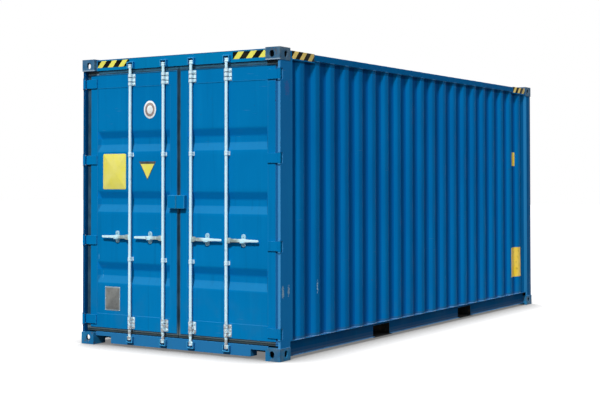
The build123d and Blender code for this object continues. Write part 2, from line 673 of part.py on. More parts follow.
# Sill: a box beam with a step up to the floor, notched upward beside both castings
with BuildPart() as door_sill:
    step_x = door_x(LEAF_BACK_DEPTH + SILL_STEP_GAP)
    with BuildSketch(Plane.XZ):
        Polygon(
            (door_x(HEADER_FACE_DEPTH), SILL_BOTTOM),
            (door_x(SILL_BACK_DEPTH), SILL_BOTTOM),
            (door_x(SILL_BACK_DEPTH), FLOOR_TOP),
            (step_x, FLOOR_TOP),
            (step_x, SILL_TOP),
            (door_x(HEADER_FACE_DEPTH), SILL_TOP),
            align=None,
        )
        offset(amount=-FRAME_WALL, kind=Kind.INTERSECTION, mode=Mode.SUBTRACT)
    extrude(amount=CASTING_INNER, both=True)
    sill_x = (door_x(HEADER_FACE_DEPTH), door_x(SILL_BACK_DEPTH))
    notch_inner = CASTING_INNER - SILL_NOTCH_WIDTH
    lid_top = SILL_NOTCH_TOP + FRAME_WALL
    for side in (-1, 1):
        notch_y = (side * notch_inner, side * CASTING_INNER)
        plate_end = side * (notch_inner - FRAME_WALL)
        block(sill_x, notch_y, (SILL_BOTTOM, SILL_NOTCH_TOP), Mode.SUBTRACT)
        block(sill_x, (plate_end, notch_y[1]), (SILL_NOTCH_TOP, lid_top))
        block(sill_x, (plate_end, notch_y[0]), (SILL_BOTTOM, lid_top))
save(door_sill.part, "door_sill")

# Front top rail: a square tube between the front castings
with BuildPart() as front_top_rail:
    rail_x = (front_x(FRONT_FACE_REACH), front_x(FRONT_FACE_REACH + TOP_RAIL_SIZE))
    block(rail_x, (-CASTING_INNER, CASTING_INNER), (TOP_RAIL_BOTTOM, TOP_RAIL_TOP))
    block(
        (rail_x[0] - TOP_RAIL_WALL, rail_x[1] + TOP_RAIL_WALL),
        (-CASTING_INNER, CASTING_INNER),
        (TOP_RAIL_BOTTOM + TOP_RAIL_WALL, TOP_RAIL_TOP - TOP_RAIL_WALL),
        Mode.SUBTRACT,
    )
save(front_top_rail.part, "front_top_rail")

# Front bottom rail: a box beam between the front castings, up to floor level
with BuildPart() as front_bottom_rail:
    front_sill_x = (front_x(FRONT_FACE_REACH), front_x(FRONT_SILL_REACH))
    block(front_sill_x, (-CASTING_INNER, CASTING_INNER), (SILL_BOTTOM, FLOOR_TOP))
    block(
        (front_sill_x[0] - FRAME_WALL, front_sill_x[1] + FRAME_WALL),
        (-CASTING_INNER, CASTING_INNER),
        (SILL_BOTTOM + FRAME_WALL, FLOOR_TOP - FRAME_WALL),
        Mode.SUBTRACT,
    )
save(front_bottom_rail.part, "front_bottom_rail")

# Front wall: a corrugated sheet with deeper, steeper waves, on the front bottom rail
with BuildPart() as front_wall:
    room = 2 * (FRONT_TAIL_START - FRONT_TAIL_WIDTH)
    waves = wave_line(room, FRONT_WAVE_OUTER, FRONT_WAVE_INNER, FRONT_WAVE_SLOPE, FRONT_WAVE_DEPTH)
    front_line = [(front_x(FRONT_WALL_REACH) + out, y) for y, out in waves]
    front_line.insert(0, (front_x(FRONT_WALL_REACH), -CASTING_INNER))
    front_line.append((front_x(FRONT_WALL_REACH), CASTING_INNER))
    with BuildSketch(Plane.XY.offset(FLOOR_TOP)):
        Polygon(*sheet_outline(front_line, -SHEET), align=None)
    extrude(amount=TOP_RAIL_BOTTOM - FLOOR_TOP)
save(front_wall.part, "front_wall")

# Roof: a sheet on the rails, flat at both ends and waved across between them
with BuildPart() as roof_panel:
    flat_start = door_x(REAR_PLATE_END)
    flat_end = front_x(FRONT_PLATE_END)
    roof_middle = (flat_start + flat_end) / 2
    room = flat_end - flat_start
    roof_line = wave_line(room, ROOF_WAVE_CROWN, ROOF_WAVE_TROUGH, ROOF_WAVE_SLOPE, ROOF_WAVE_DEPTH)
    roof_line = [(roof_middle + x, TOP_RAIL_TOP + SHEET + rise) for x, rise in roof_line]
    roof_line.insert(0, (door_x(HEADER_BACK_DEPTH), TOP_RAIL_TOP + SHEET))
    roof_line.append((front_x(FRONT_FACE_REACH), TOP_RAIL_TOP + SHEET))
    with BuildSketch(Plane.XZ):
        Polygon(*sheet_outline(roof_line, SHEET), align=None)
    extrude(amount=HALF_WIDTH - ROOF_EDGE_RECESS, both=True)
    for side in (-1, 1):
        block(
            (front_x(0), front_x(CASTING_LENGTH)),
            (side * CASTING_INNER, side * HALF_WIDTH),
            (POST_TOP, HEIGHT),
            Mode.SUBTRACT,
        )
save(roof_panel.part, "roof_panel")

# Corner plates: a flat one on the roof and an upright one on the top rail at each corner
with BuildPart() as top_corner_plates:
    rail_plate_low = TOP_RAIL_BOTTOM - RAIL_PLATE_OVERHANG
    for side in (-1, 1):
        plate_y = (side * (TOP_RAIL_OUTER - CORNER_PLATE_WIDTH), side * (HALF_WIDTH - ROOF_EDGE_RECESS))
        plate_z = (TOP_RAIL_TOP + SHEET, TOP_RAIL_TOP + SHEET + CORNER_PLATE)
        block((door_x(HEADER_BACK_DEPTH), door_x(REAR_PLATE_END)), plate_y, plate_z)
        block((front_x(CASTING_LENGTH), front_x(FRONT_PLATE_END)), plate_y, plate_z)
        for end in (-1, 1):
            block(
                (end * (HALF_LENGTH - CASTING_LENGTH), end * (HALF_LENGTH - RAIL_PLATE_END)),
                (side * TOP_RAIL_OUTER, side * (TOP_RAIL_OUTER + RAIL_PLATE)),
                (rail_plate_low, TOP_RAIL_TOP + SHEET + CORNER_PLATE),
            )
        block(
            (door_x(CASTING_LENGTH), door_x(POST_BACK_DEPTH)),
            (side * TOP_RAIL_OUTER, side * (TOP_RAIL_OUTER + RAIL_PLATE)),
            (rail_plate_low, TOP_RAIL_BOTTOM),
            Mode.SUBTRACT,
        )
save(top_corner_plates.part, "top_corner_plates")

# Floor boards between the rails, from the sill to the front bottom rail
with BuildPart() as floor_boards:
    block(
        (door_x(SILL_BACK_DEPTH), front_x(FRONT_SILL_REACH)),
        (-RAIL_WEB, RAIL_WEB),
        (FLOOR_TOP - FLOOR_THICKNESS, FLOOR_TOP),
    )
save(floor_boards.part, "floor_boards")

# Cross members: channels under the floor, left out where a fork pocket runs
with BuildPart() as cross_members:
    cross_top = FLOOR_TOP - FLOOR_THICKNESS
    span = 2 * HALF_LENGTH - SILL_BACK_DEPTH - FRONT_SILL_REACH
    cross_middle = (door_x(SILL_BACK_DEPTH) + front_x(FRONT_SILL_REACH)) / 2
    cross_count = int((span - CROSS_TOP_FLANGE) // CROSS_SPACING)
    keep_off = POCKET_WIDTH / 2 + POCKET_STEEL + CROSS_GAP
    for index in range(cross_count):
        web_x = cross_middle + (index - (cross_count - 1) / 2) * CROSS_SPACING
        reaches = (web_x, web_x + CROSS_TOP_FLANGE)
        crossed = any(
            reaches[1] > middle - keep_off and reaches[0] < middle + keep_off
            for middle in (-POCKET_OFFSET, POCKET_OFFSET)
        )
        if crossed:
            continue
        cross_line = [
            (web_x + CROSS_LOW_FLANGE, cross_top - CROSS_HEIGHT),
            (web_x, cross_top - CROSS_HEIGHT),
            (web_x, cross_top),
            (web_x + CROSS_TOP_FLANGE, cross_top),
        ]
        with BuildSketch(Plane.XZ):
            Polygon(*sheet_outline(cross_line, CROSS_STEEL), align=None)
        extrude(amount=RAIL_WEB, both=True)
save(cross_members.part, "cross_members")

# Fork pockets: a lid and two cheeks right across, and a strap under each end
pocket_outer = POCKET_WIDTH / 2 + POCKET_STEEL
pocket_top = RAIL_BOTTOM + POCKET_HEIGHT
with BuildPart() as pocket_lids:
    for middle in (-POCKET_OFFSET, POCKET_OFFSET):
        lid_x = (middle - pocket_outer, middle + pocket_outer)
        block(lid_x, (-RAIL_WEB, RAIL_WEB), (pocket_top, FLOOR_TOP - FLOOR_THICKNESS))
with BuildPart() as pocket_cheeks:
    for middle in (-POCKET_OFFSET, POCKET_OFFSET):
        for way in (-1, 1):
            cheek_x = (middle + way * POCKET_WIDTH / 2, middle + way * pocket_outer)
            block(cheek_x, (-RAIL_WEB, RAIL_WEB), (RAIL_BOTTOM, pocket_top))
with BuildPart() as pocket_straps:
    strap_outer = RAIL_WEB + RAIL_LOW_FLANGE
    for middle in (-POCKET_OFFSET, POCKET_OFFSET):
        strap_x = (middle - pocket_outer - CROSS_GAP, middle + pocket_outer + CROSS_GAP)
        for side in (-1, 1):
            strap_y = (side * (strap_outer - POCKET_STRAP_LENGTH), side * strap_outer)
            block(strap_x, strap_y, (RAIL_BOTTOM - POCKET_STRAP, RAIL_BOTTOM))
pocket_plates = pocket_lids.part.solids() + pocket_cheeks.part.solids() + pocket_straps.part.solids()
save(Compound(pocket_plates), "forklift_pockets")

# Keepers: two ears and a bridge for each cam, on the header and on the sill
with BuildPart() as cam_keepers:
    keeper_x = (door_x(KEEPER_FRONT_DEPTH), door_x(HEADER_FACE_DEPTH))
    for side in (-1, 1):
        for _, rod_y in rod_places(side):
            for rod_end, way in ((ROD_BOTTOM, -1), (ROD_TOP, 1)):
                outer_z = rod_end + way * KEEPER_OVERHANG
                bridge_z = (outer_z - way * KEEPER_BRIDGE, outer_z)
                for ear in (-1, 1):
                    ear_y = (rod_y + ear * KEEPER_GAP, rod_y + ear * (KEEPER_GAP + KEEPER_EAR))
                    block(keeper_x, ear_y, (rod_end - way * CAM_HEIGHT, outer_z))
                block(keeper_x, (rod_y - KEEPER_GAP, rod_y + KEEPER_GAP), bridge_z)
save(cam_keepers.part, "cam_keepers")

for side_name, side in (("left", 1), ("right", -1)):
    save(rear_post(side), f"rear_{side_name}_post")
    save(front_post(side), f"front_{side_name}_post")
    save(top_rail(side), f"{side_name}_top_rail")
    save(bottom_rail(side), f"{side_name}_bottom_rail")
    save(side_wall(side), f"{side_name}_side_wall")
    save(door_frame(side), f"{side_name}_door_frame")
    save(door_panel(side), f"{side_name}_door_panel")
    save(door_gasket(side), f"{side_name}_door_gasket")
    save(door_hinges(side), f"{side_name}_door_hinges")
    save(rod_brackets(side), f"{side_name}_rod_brackets")
    save(handle_retainers(side), f"{side_name}_handle_retainers")
    save(lock_box(side), f"{side_name}_lock_box")
    for rod_name, offset_y in ROD_OFFSETS.items():
        save(lock_rod(side, offset_y), f"{side_name}_{rod_name}_rod")
        save(handle(side, offset_y), f"{side_name}_{rod_name}_handle")
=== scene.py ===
import json
import math
import bmesh
import bpy
import numpy as np
from mathutils import Matrix, Vector

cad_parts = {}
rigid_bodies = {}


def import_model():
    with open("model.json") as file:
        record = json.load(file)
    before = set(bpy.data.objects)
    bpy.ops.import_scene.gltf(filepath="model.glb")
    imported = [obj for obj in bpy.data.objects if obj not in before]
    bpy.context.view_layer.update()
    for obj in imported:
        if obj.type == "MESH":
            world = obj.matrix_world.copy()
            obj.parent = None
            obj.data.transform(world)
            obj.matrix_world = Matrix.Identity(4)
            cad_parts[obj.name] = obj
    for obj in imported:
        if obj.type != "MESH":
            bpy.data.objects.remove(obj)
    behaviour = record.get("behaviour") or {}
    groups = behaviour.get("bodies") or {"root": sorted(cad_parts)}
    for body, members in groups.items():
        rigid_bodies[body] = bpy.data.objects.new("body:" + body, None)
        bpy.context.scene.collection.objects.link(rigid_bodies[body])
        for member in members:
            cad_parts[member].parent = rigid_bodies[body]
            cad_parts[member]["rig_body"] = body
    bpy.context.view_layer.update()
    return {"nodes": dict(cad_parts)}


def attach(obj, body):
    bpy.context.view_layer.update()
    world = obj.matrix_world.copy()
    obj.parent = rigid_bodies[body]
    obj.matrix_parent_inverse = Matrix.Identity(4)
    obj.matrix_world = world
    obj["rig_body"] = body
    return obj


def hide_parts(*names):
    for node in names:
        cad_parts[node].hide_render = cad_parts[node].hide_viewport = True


# The looks of a 20 foot high-cube steel shipping container, dressed over its CAD frame.
# Metres, doors at the low end of X, left side at high Y, ground at Z 0.

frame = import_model()

# Envelope
HALF_LENGTH = 3.029
HALF_WIDTH = 1.219
ROOF_HEIGHT = 2.896
CASTING_LENGTH = 0.178
CASTING_INNER = 1.057
CASTING_HEIGHT = 0.118
POST_TOP = 2.778
FLOOR_TOP = 0.172
HEADER_RECESS = 0.042
FRONT_RAIL_RECESS = 0.010
FRONT_VALLEY = 0.0556
RAIL_FACE = 1.217

# Corrugated sheets
SHEET = 0.002
WALL_START = 0.216
WALL_END = 0.264
WALL_TOP = 2.808
WALL_OUTER = 1.211
SIDE_WAVE = {"pitch": 0.278, "outer": 0.072, "slope": 0.068, "depth": 0.036, "bend": 0.013}
FRONT_WAVE = {"pitch": 0.250, "outer": 0.110, "slope": 0.018, "depth": 0.0456, "bend": 0.007}
ROOF_WAVE = {"pitch": 0.208, "outer": 0.091, "slope": 0.031, "depth": 0.018, "bend": 0.008}
SIDE_WAVES = 20
FRONT_WAVES = 8
ROOF_WAVES = 21
ROOF_MIDDLE = -0.0255
ROOF_SHEET_TOP = 2.870
ROOF_HALF_WIDTH = 1.185
ROOF_START = 0.182
SIDE_CREST = -(SIDE_WAVES - 1) / 2 * SIDE_WAVE["pitch"]
FRONT_CREST = -(FRONT_WAVES - 1) / 2 * FRONT_WAVE["pitch"]
ROOF_CREST = ROOF_MIDDLE - (ROOF_WAVES - 1) / 2 * ROOF_WAVE["pitch"]

# Floor
FLOOR_START = 0.150
FLOOR_END = 0.110
FLOOR_HALF_WIDTH = 1.163
FLOOR_BOTTOM = 0.144
FLOOR_THICKNESS = 0.028

# Cross members under the floor
CROSS_SPACING = 0.3
CROSS_SHIFT = 0.02
CROSS_FLANGE = 0.045

# Doors
LEAF_FACE = 0.048
LEAF_INNER = 0.023
LEAF_OUTER = 1.140
LEAF_LOW = 0.172
LEAF_HIGH = 2.738
PANEL_FACE = 0.051
PANEL_INNER = 0.104
PANEL_OUTER = 1.053
PANEL_LOW = 0.315
PANEL_HIGH = 2.600
TROUGH_HEIGHTS = (0.731, 1.4485, 2.054)
TROUGH_HALF = 0.106
TROUGH_RUN = 0.075
TROUGH_END_RUN = 0.025
TROUGH_DEPTH = 0.035
TROUGH_MARGIN = 0.006
SEAL_FACE = 0.052
SEAL_BACK = 0.075
SEAL_CENTRE = 0.0035
SEAL_OUTER = 1.185
SEAL_LOW = 0.133
SEAL_HIGH = 2.773

# Lock rods and handles
ROD_PLACES = {"outer": 0.595, "inner": 0.171}
ROD_DEPTH = 0.020
ROD_RADIUS = 0.015
ROD_LOW = 0.075
ROD_HIGH = 2.822
CAM_HEIGHT = 0.036
CAM_RADIUS = 0.018
CAM_NOSE = 0.028
BRACKET_HEIGHTS = (0.243, 2.667)
GUIDE_HEIGHTS = (0.879, 1.919)
HANDLE_HEIGHT = 1.096
HANDLE_PIVOT = 0.036
HANDLE_REACH = 0.370
RETAINER_OFFSET = 0.183

SIDES = (("left", 1), ("right", -1))

# Camera fitted to the photograph: place, then turn, lift and roll in degrees
CAMERA_PLACE = (-12.17859, -7.34805, 1.67785)
CAMERA_TURNS = (32.155378, 1.324156, -0.061257)
CAMERA_LENS = 72.055
CAMERA_SHIFT = (-0.02447, -0.08186)


# Meshes from arrays

def grid_faces(rows, columns, rows_close=False, columns_close=False):
    """Corner numbers of the four-sided faces of a grid, which may close on itself either way."""
    row = np.arange(rows if rows_close else rows - 1)
    column = np.arange(columns if columns_close else columns - 1)
    row, column = np.meshgrid(row, column, indexing="ij")
    next_row = (row + 1) % rows
    next_column = (column + 1) % columns
    corners = [
        row * columns + column,
        row * columns + next_column,
        next_row * columns + next_column,
        next_row * columns + column,
    ]
    return np.stack(corners, axis=-1).reshape(-1, 4)


def closed_run(stations):
    """A closed profile carried along a path, stations[step, point], its ends drawn in to their middles."""
    steps, around = stations.shape[:2]
    first = np.repeat(stations[:1].mean(axis=1, keepdims=True), around, axis=1)
    last = np.repeat(stations[-1:].mean(axis=1, keepdims=True), around, axis=1)
    rows = np.concatenate([first, stations, last])
    return rows.reshape(-1, 3), grid_faces(steps + 2, around, columns_close=True)


def closed_ring(stations):
    """A closed profile carried round a closed path, stations[step, point]."""
    steps, around = stations.shape[:2]
    return stations.reshape(-1, 3), grid_faces(steps, around, True, True)


def sheet_shell(front, back):
    """A thin sheet from two grids of the same size, front and back, with its four edges closed."""
    rows, columns = front.shape[:2]
    count = rows * columns
    number = np.arange(count).reshape(rows, columns)
    rim = np.concatenate([number[0, :-1], number[:-1, -1], number[-1, :0:-1], number[:0:-1, 0]])
    after = np.roll(rim, -1)
    faces = grid_faces(rows, columns)
    edge = np.stack([rim, after, after + count, rim + count], axis=-1)
    points = np.concatenate([front.reshape(-1, 3), back.reshape(-1, 3)])
    return points, np.concatenate([faces, faces[:, ::-1] + count, edge])


def joined(shapes):
    """Several shapes, each points and faces, as one."""
    starts = np.cumsum([0] + [len(points) for points, _ in shapes[:-1]])
    points = np.concatenate([points for points, _ in shapes])
    faces = np.concatenate([faces + start for start, (_, faces) in zip(starts, shapes)])
    return points, faces


def repeated(shape, places):
    """One shape copied to each of the places."""
    points, faces = shape
    places = np.asarray(places, float).reshape(-1, 3)
    moved = points[None] + places[:, None]
    shifted = faces[None] + (np.arange(len(places)) * len(points))[:, None, None]
    return moved.reshape(-1, 3), shifted.reshape(-1, 4)


def turned_shape(outline, axis, around=20):
    """An outline of radius and height pairs turned about the X, Y or Z axis."""
    outline = np.asarray(outline, float)
    angle = np.linspace(0, 2 * np.pi, around, endpoint=False)
    axis = np.asarray(axis, float)
    across = np.roll(axis, 1)
    other = np.cross(axis, across)
    ring = np.cos(angle)[:, None] * across + np.sin(angle)[:, None] * other
    stations = outline[:, 0, None, None] * ring[None] + outline[:, 1, None, None] * axis
    return closed_run(stations)


def rounded_outline(half_width, half_height, corner, steps=4):
    """A rectangle's outline with quarter-circle corners, as across and up pairs."""
    angle = np.linspace(0, np.pi / 2, steps + 1)
    quarters = np.arange(4)[:, None] * np.pi / 2 + angle[None]
    centre = np.array([[1, 1], [-1, 1], [-1, -1], [1, -1]]) * [half_width - corner, half_height - corner]
    arc = corner * np.stack([np.cos(quarters), np.sin(quarters)], axis=-1)
    return (centre[:, None] + arc).reshape(-1, 2)


def pressed_plate(outline, middle, across, up, out, thickness, edge=0.0006):
    """A flat outline raised off its seat: sides straight up, then the edge rounded over to the face."""
    outline = np.asarray(outline, float)
    centre = outline.mean(axis=0)
    reach = np.abs(outline - centre).max()
    turn = [thickness - 0.3 * edge, 0.3 * edge]
    levels = np.array([[0, 0], [thickness - edge, 0], turn, [thickness, edge]])
    shrink = 1 - levels[:, 1] / reach
    flat = centre + (outline[None] - centre) * shrink[:, None, None]
    across, up, out = (np.asarray(way, float) for way in (across, up, out))
    stations = flat[..., :1] * across + flat[..., 1:] * up + levels[:, 0, None, None] * out
    return closed_run(np.asarray(middle, float) + stations)


def wear_piece(name, shape, body, finish, smooth=30.0):
    """A mesh from points and faces: doubles merged, faces outward, riding on a CAD body."""
    points, faces = shape
    mesh = bpy.data.meshes.new(name)
    mesh.vertices.add(len(points))
    mesh.vertices.foreach_set("co", np.asarray(points, np.float32).ravel())
    mesh.loops.add(faces.size)
    mesh.loops.foreach_set("vertex_index", faces.astype(np.int32).ravel())
    mesh.polygons.add(len(faces))
    mesh.polygons.foreach_set("loop_start", np.arange(0, faces.size, 4, dtype=np.int32))
    mesh.update(calc_edges=True)
    work = bmesh.new()
    work.from_mesh(mesh)
    bmesh.ops.remove_doubles(work, verts=work.verts, dist=1e-6)
    bmesh.ops.dissolve_degenerate(work, edges=work.edges, dist=1e-6)
    bmesh.ops.recalc_face_normals(work, faces=work.faces)
    work.to_mesh(mesh)
    work.free()
    mesh.shade_smooth()
    mesh.set_sharp_from_angle(angle=math.radians(smooth))
    piece = bpy.data.objects.new(name, mesh)
    bpy.context.scene.collection.objects.link(piece)
    mesh.materials.append(finish)
    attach(piece, body)
    return piece


def edged_copy(node, finish, edge_finish, edge=0.0015, steps=2):
    """A merged copy of a CAD node whose edges are rounded over and take the edge finish,
    paler for wear and painted highlight.
    """
    source = frame["nodes"][node]
    mesh = source.data.copy()
    mesh.name = node + "_edged"
    work = bmesh.new()
    work.from_mesh(mesh)
    bmesh.ops.remove_doubles(work, verts=work.verts, dist=2e-5)
    bmesh.ops.dissolve_limit(work, angle_limit=math.radians(0.5), verts=work.verts, edges=work.edges)
    work.to_mesh(mesh)
    work.free()
    imported = ("custom_normal", "sharp_edge", "sharp_face")
    for layer in [a.name for a in mesh.attributes if a.name in imported]:
        mesh.attributes.remove(mesh.attributes[layer])
    mesh.materials.clear()
    mesh.materials.append(finish)
    mesh.materials.append(edge_finish)
    turn = math.radians(24)
    mesh.shade_smooth()
    mesh.set_sharp_from_angle(angle=turn)
    piece = bpy.data.objects.new(node + "_edged", mesh)
    bpy.context.scene.collection.objects.link(piece)
    bevel = piece.modifiers.new("edges", "BEVEL")
    bevel.width = edge
    bevel.segments = steps
    bevel.limit_method = "ANGLE"
    bevel.angle_limit = turn
    bevel.harden_normals = True
    bevel.material = 1
    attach(piece, source["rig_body"])
    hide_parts(node)
    return piece


# Finishes

def tint(red, green, blue):
    """A screen colour of 0 to 255 as the shader's linear colour."""
    share = np.array([red, green, blue], float) / 255
    linear = np.where(share <= 0.04045, share / 12.92, ((share + 0.055) / 1.055) ** 2.4)
    return (*linear.tolist(), 1.0)


def mixed(first, second, share):
    """A linear colour the given share of the way from the first to the second."""
    return tuple(a + (b - a) * share for a, b in zip(first, second))


def add_node(tree, kind, inputs, **settings):
    """A shader node with its settings, each input linked to a socket or set to a value."""
    node = tree.nodes.new(kind)
    for key, value in settings.items():
        setattr(node, key, value)
    for key, value in inputs.items():
        if isinstance(value, bpy.types.NodeSocket):
            tree.links.new(value, node.inputs[key])
        else:
            node.inputs[key].default_value = value
    return node


class Finish:
    """A material whose colour, gloss and bumps are worked out from places on the object."""

    def __init__(self, name, **uniform):
        self.material = bpy.data.materials.new(name)
        self.material.use_nodes = True
        self.tree = self.material.node_tree
        self.shader = self.tree.nodes["Principled BSDF"]
        self.place = self.tree.nodes.new("ShaderNodeTexCoord").outputs["Object"]
        for socket, value in uniform.items():
            self.shader.inputs[socket.replace("_", " ")].default_value = value

    def add(self, kind, inputs, **settings):
        """A node of this material."""
        return add_node(self.tree, kind, inputs, **settings)

    def stretched(self, scale, turn=(0, 0, 0)):
        """The place with each axis scaled, for streaks and scratches."""
        inputs = {"Vector": self.place, "Scale": scale, "Rotation": turn}
        return self.add("ShaderNodeMapping", inputs).outputs["Vector"]

    def cloud(self, scale, detail=2.0, place=None, blur=0.5):
        """Soft noise from 0 to 1."""
        inputs = {"Vector": place or self.place, "Scale": scale, "Detail": detail, "Roughness": blur}
        return self.add("ShaderNodeTexNoise", inputs).outputs["Fac"]

    def cells(self, scale, place=None):
        """Distance to the nearest of scattered points."""
        inputs = {"Vector": place or self.place, "Scale": scale}
        return self.add("ShaderNodeTexVoronoi", inputs).outputs["Distance"]

    def step(self, value, low, high, start=0.0, end=1.0):
        """A value eased from start to end as it goes from low to high."""
        inputs = {"Value": value, "From Min": low, "From Max": high, "To Min": start, "To Max": end}
        return self.add("ShaderNodeMapRange", inputs, interpolation_type="SMOOTHSTEP").outputs["Result"]

    def patches(self, scale, detail, low, high, start=0.0, end=1.0):
        """Soft noise eased from start to end as it goes from low to high."""
        return self.step(self.cloud(scale, detail), low, high, start, end)

    def band(self, value, low, high, ease=0.002):
        """One between low and high, eased to nought just outside them."""
        return self.times(self.step(value, low - ease, low), self.step(value, high + ease, high))

    def blot(self, middle, half):
        """One inside an oval about a place, eased to nought at a ragged rim."""
        away = self.vector("SUBTRACT", self.place, middle)["Vector"]
        reach = self.vector("LENGTH", self.vector("DIVIDE", away, half)["Vector"])["Value"]
        ragged = self.maths("ADD", reach, self.patches(60.0, 4.0, 0.3, 0.7, -0.5, 0.5))
        return self.step(ragged, 1.1, 0.7)

    def maths(self, operation, first, second=0.0):
        """The value of a maths node."""
        return self.add("ShaderNodeMath", {0: first, 1: second}, operation=operation).outputs["Value"]

    def vector(self, operation, first, second=(0.0, 0.0, 0.0)):
        """The outputs of a vector maths node."""
        return self.add("ShaderNodeVectorMath", {0: first, 1: second}, operation=operation).outputs

    def times(self, first, second):
        """The product of two values."""
        return self.maths("MULTIPLY", first, second)

    def most(self, first, second):
        """The greater of two values."""
        return self.maths("MAXIMUM", first, second)

    def gap(self, value, middle):
        """How far a value lies from a middle, either way."""
        return self.maths("ABSOLUTE", self.maths("SUBTRACT", value, middle))

    def blend(self, share, first, second, way="MIX"):
        """Two colours mixed by a share."""
        inputs = {"Fac": share, "Color1": first, "Color2": second}
        return self.add("ShaderNodeMixRGB", inputs, blend_type=way).outputs["Color"]

    def split(self):
        """The X, Y and Z of the place."""
        return self.add("ShaderNodeSeparateXYZ", {"Vector": self.place}).outputs

    def bump(self, height, strength, distance, after=None):
        """A normal tilted by a height, on top of another where one is given."""
        inputs = {"Height": height, "Strength": strength, "Distance": distance}
        if after is not None:
            inputs["Normal"] = after
        return self.add("ShaderNodeBump", inputs).outputs["Normal"]

    def use(self, **links):
        """The material, with the sockets of its shader linked."""
        for socket, value in links.items():
            self.tree.links.new(value, self.shader.inputs[socket.replace("_", " ")])
        return self.material


def weathered_paint(name, colour, worn=0.0, dust=0.0, marks=(), scuffs=()):
    """Sprayed marine paint: cloudy tone, rain streaks, dust low down, scuffs, chips and orange peel.
    Each mark is a strip of wear, grime, painted shade or painted highlight: an axis, its low and high place,
    a tone and a share.
    Each scuff is a rubbed blot: its middle, its half sizes, a tone and a share."""
    finish = Finish(name, Specular_IOR_Level=0.01)
    place = finish.split()
    height = place["Z"]
    dull, bright = mixed(colour, tint(0, 40, 90), 0.10), mixed(colour, FADED_BLUE, 0.12)
    tone = finish.blend(finish.patches(0.8, 3.0, 0.3, 0.7), dull, bright)
    rain = finish.cloud(1.0, 5.0, finish.stretched((17, 17, 0.7)))
    tone = finish.blend(finish.step(rain, 0.52, 0.78, 0.0, 0.22), tone, FADED_BLUE)
    soot = finish.cloud(1.0, 2.0, finish.stretched((19, 19, 0.9)))
    sooty = mixed(colour, tint(10, 25, 45), 0.7)
    tone = finish.blend(finish.step(soot, 0.56, 0.85, 0.0, 0.22), tone, sooty)
    splash = finish.times(finish.step(height, 0.9, 0.1), finish.patches(5.0, 4.0, 0.45, 0.7, 0.0, 0.12))
    ledge = finish.step(height, 0.24, 0.15, 0.0, dust)
    tone = finish.blend(finish.most(splash, ledge), tone, tint(64, 112, 136))
    # Marks: strips of wear and grime, and of painted shade and painted highlight.
    for axis, low, high, mark, share in marks:
        strip = finish.times(finish.band(place[axis], low, high), share)
        tone = finish.blend(strip, tone, mark)
    for middle, half, mark, share in scuffs:
        tone = finish.blend(finish.times(finish.blot(middle, half), share), tone, mark)
    scratch = finish.cloud(1.0, 3.0, finish.stretched((5, 5, 120), (0.12, 0.2, 0)))
    zone = finish.patches(1.7, 2.0, 0.56 - 0.12 * worn, 0.66 - 0.08 * worn)
    scuff = finish.times(finish.step(scratch, 0.66, 0.74, 0.0, 0.18 + 0.4 * worn), zone)
    tone = finish.blend(scuff, tone, tint(128, 150, 168))
    chip = finish.cloud(46.0, 5.0)
    chip_zone = finish.patches(2.3, 3.0, 0.55 - 0.15 * worn, 0.68 - 0.12 * worn)
    chips = finish.times(finish.step(chip, 0.70 - 0.06 * worn, 0.73 - 0.06 * worn), chip_zone)
    tone = finish.blend(chips, tone, tint(74, 50, 42))
    gloss = finish.patches(3.1, 4.0, 0.3, 0.7, 0.42, 0.62)
    peel = finish.bump(finish.cloud(420.0, 1.0), 0.10, 0.0006)
    ripple = finish.bump(finish.cloud(2.6, 1.0), 0.12, 0.006, peel)
    flake = finish.bump(chips, 0.35, -0.0008, ripple)
    return finish.use(Base_Color=tone, Roughness=gloss, Normal=flake)


def casting_finish(name, worn=0.0):
    """Cast steel under thin paint: blue low down, scoured to grey and brown high up and at the right,
    with a painted highlight and wear at the foot of each top casting's front face, and painted shade,
    nearly black, in the hollow of each casting."""
    finish = Finish(name, Specular_IOR_Level=0.2)
    place = finish.split()
    high = finish.step(place["Z"], 1.0, 2.0)
    right = finish.step(place["Y"], 0.5, -0.5)
    blue = finish.blend(finish.patches(6.0, 4.0, 0.35, 0.65), tint(14, 104, 156), tint(40, 120, 164))
    grey = finish.blend(finish.patches(14.0, 4.0, 0.35, 0.65), tint(50, 92, 124), tint(86, 112, 132))
    scour = finish.times(finish.patches(9.0, 5.0, 0.42, 0.55), finish.times(right, 0.75))
    cover = finish.times(high, finish.step(place["Y"], -0.5, 0.5, 0.9, 0.62))
    tone = finish.blend(finish.most(cover, scour), blue, grey)
    brown = finish.patches(21.0, 5.0, 0.60 - 0.1 * worn, 0.70 - 0.1 * worn, 0.0, 0.6)
    tone = finish.blend(brown, tone, tint(84, 76, 74))
    # Painted highlight and wear: a pale band at the foot of each top casting's front face.
    foot = finish.band(place["Z"], 2.76, 2.788)
    foot = finish.times(foot, finish.step(place["X"], -3.010, -3.018, 0.0, 0.7))
    tone = finish.blend(foot, tone, tint(160, 182, 200))
    # Painted shade: the hollow of each casting darkened nearly to black.
    level = finish.gap(place["Z"], ROOF_HEIGHT / 2)
    length = finish.maths("ABSOLUTE", place["X"])
    width = finish.maths("ABSOLUTE", place["Y"])
    skin, back = 0.0148, 0.004
    hollow = finish.band(length, HALF_LENGTH - CASTING_LENGTH + back, HALF_LENGTH - skin, 0.0008)
    hollow = finish.times(hollow, finish.band(width, CASTING_INNER + back, HALF_WIDTH - skin, 0.0008))
    half_height = ROOF_HEIGHT / 2
    hollow = finish.times(hollow, finish.band(level, half_height - 0.1025, half_height - 0.0285))
    tone = finish.blend(finish.times(hollow, 0.92), tone, tint(4, 8, 14))
    gloss = finish.patches(17.0, 3.0, 0.3, 0.7, 0.5, 0.75)
    cast = finish.bump(finish.cloud(160.0, 3.0), 0.35, 0.0012)
    return finish.use(Base_Color=tone, Roughness=gloss, Normal=cast)


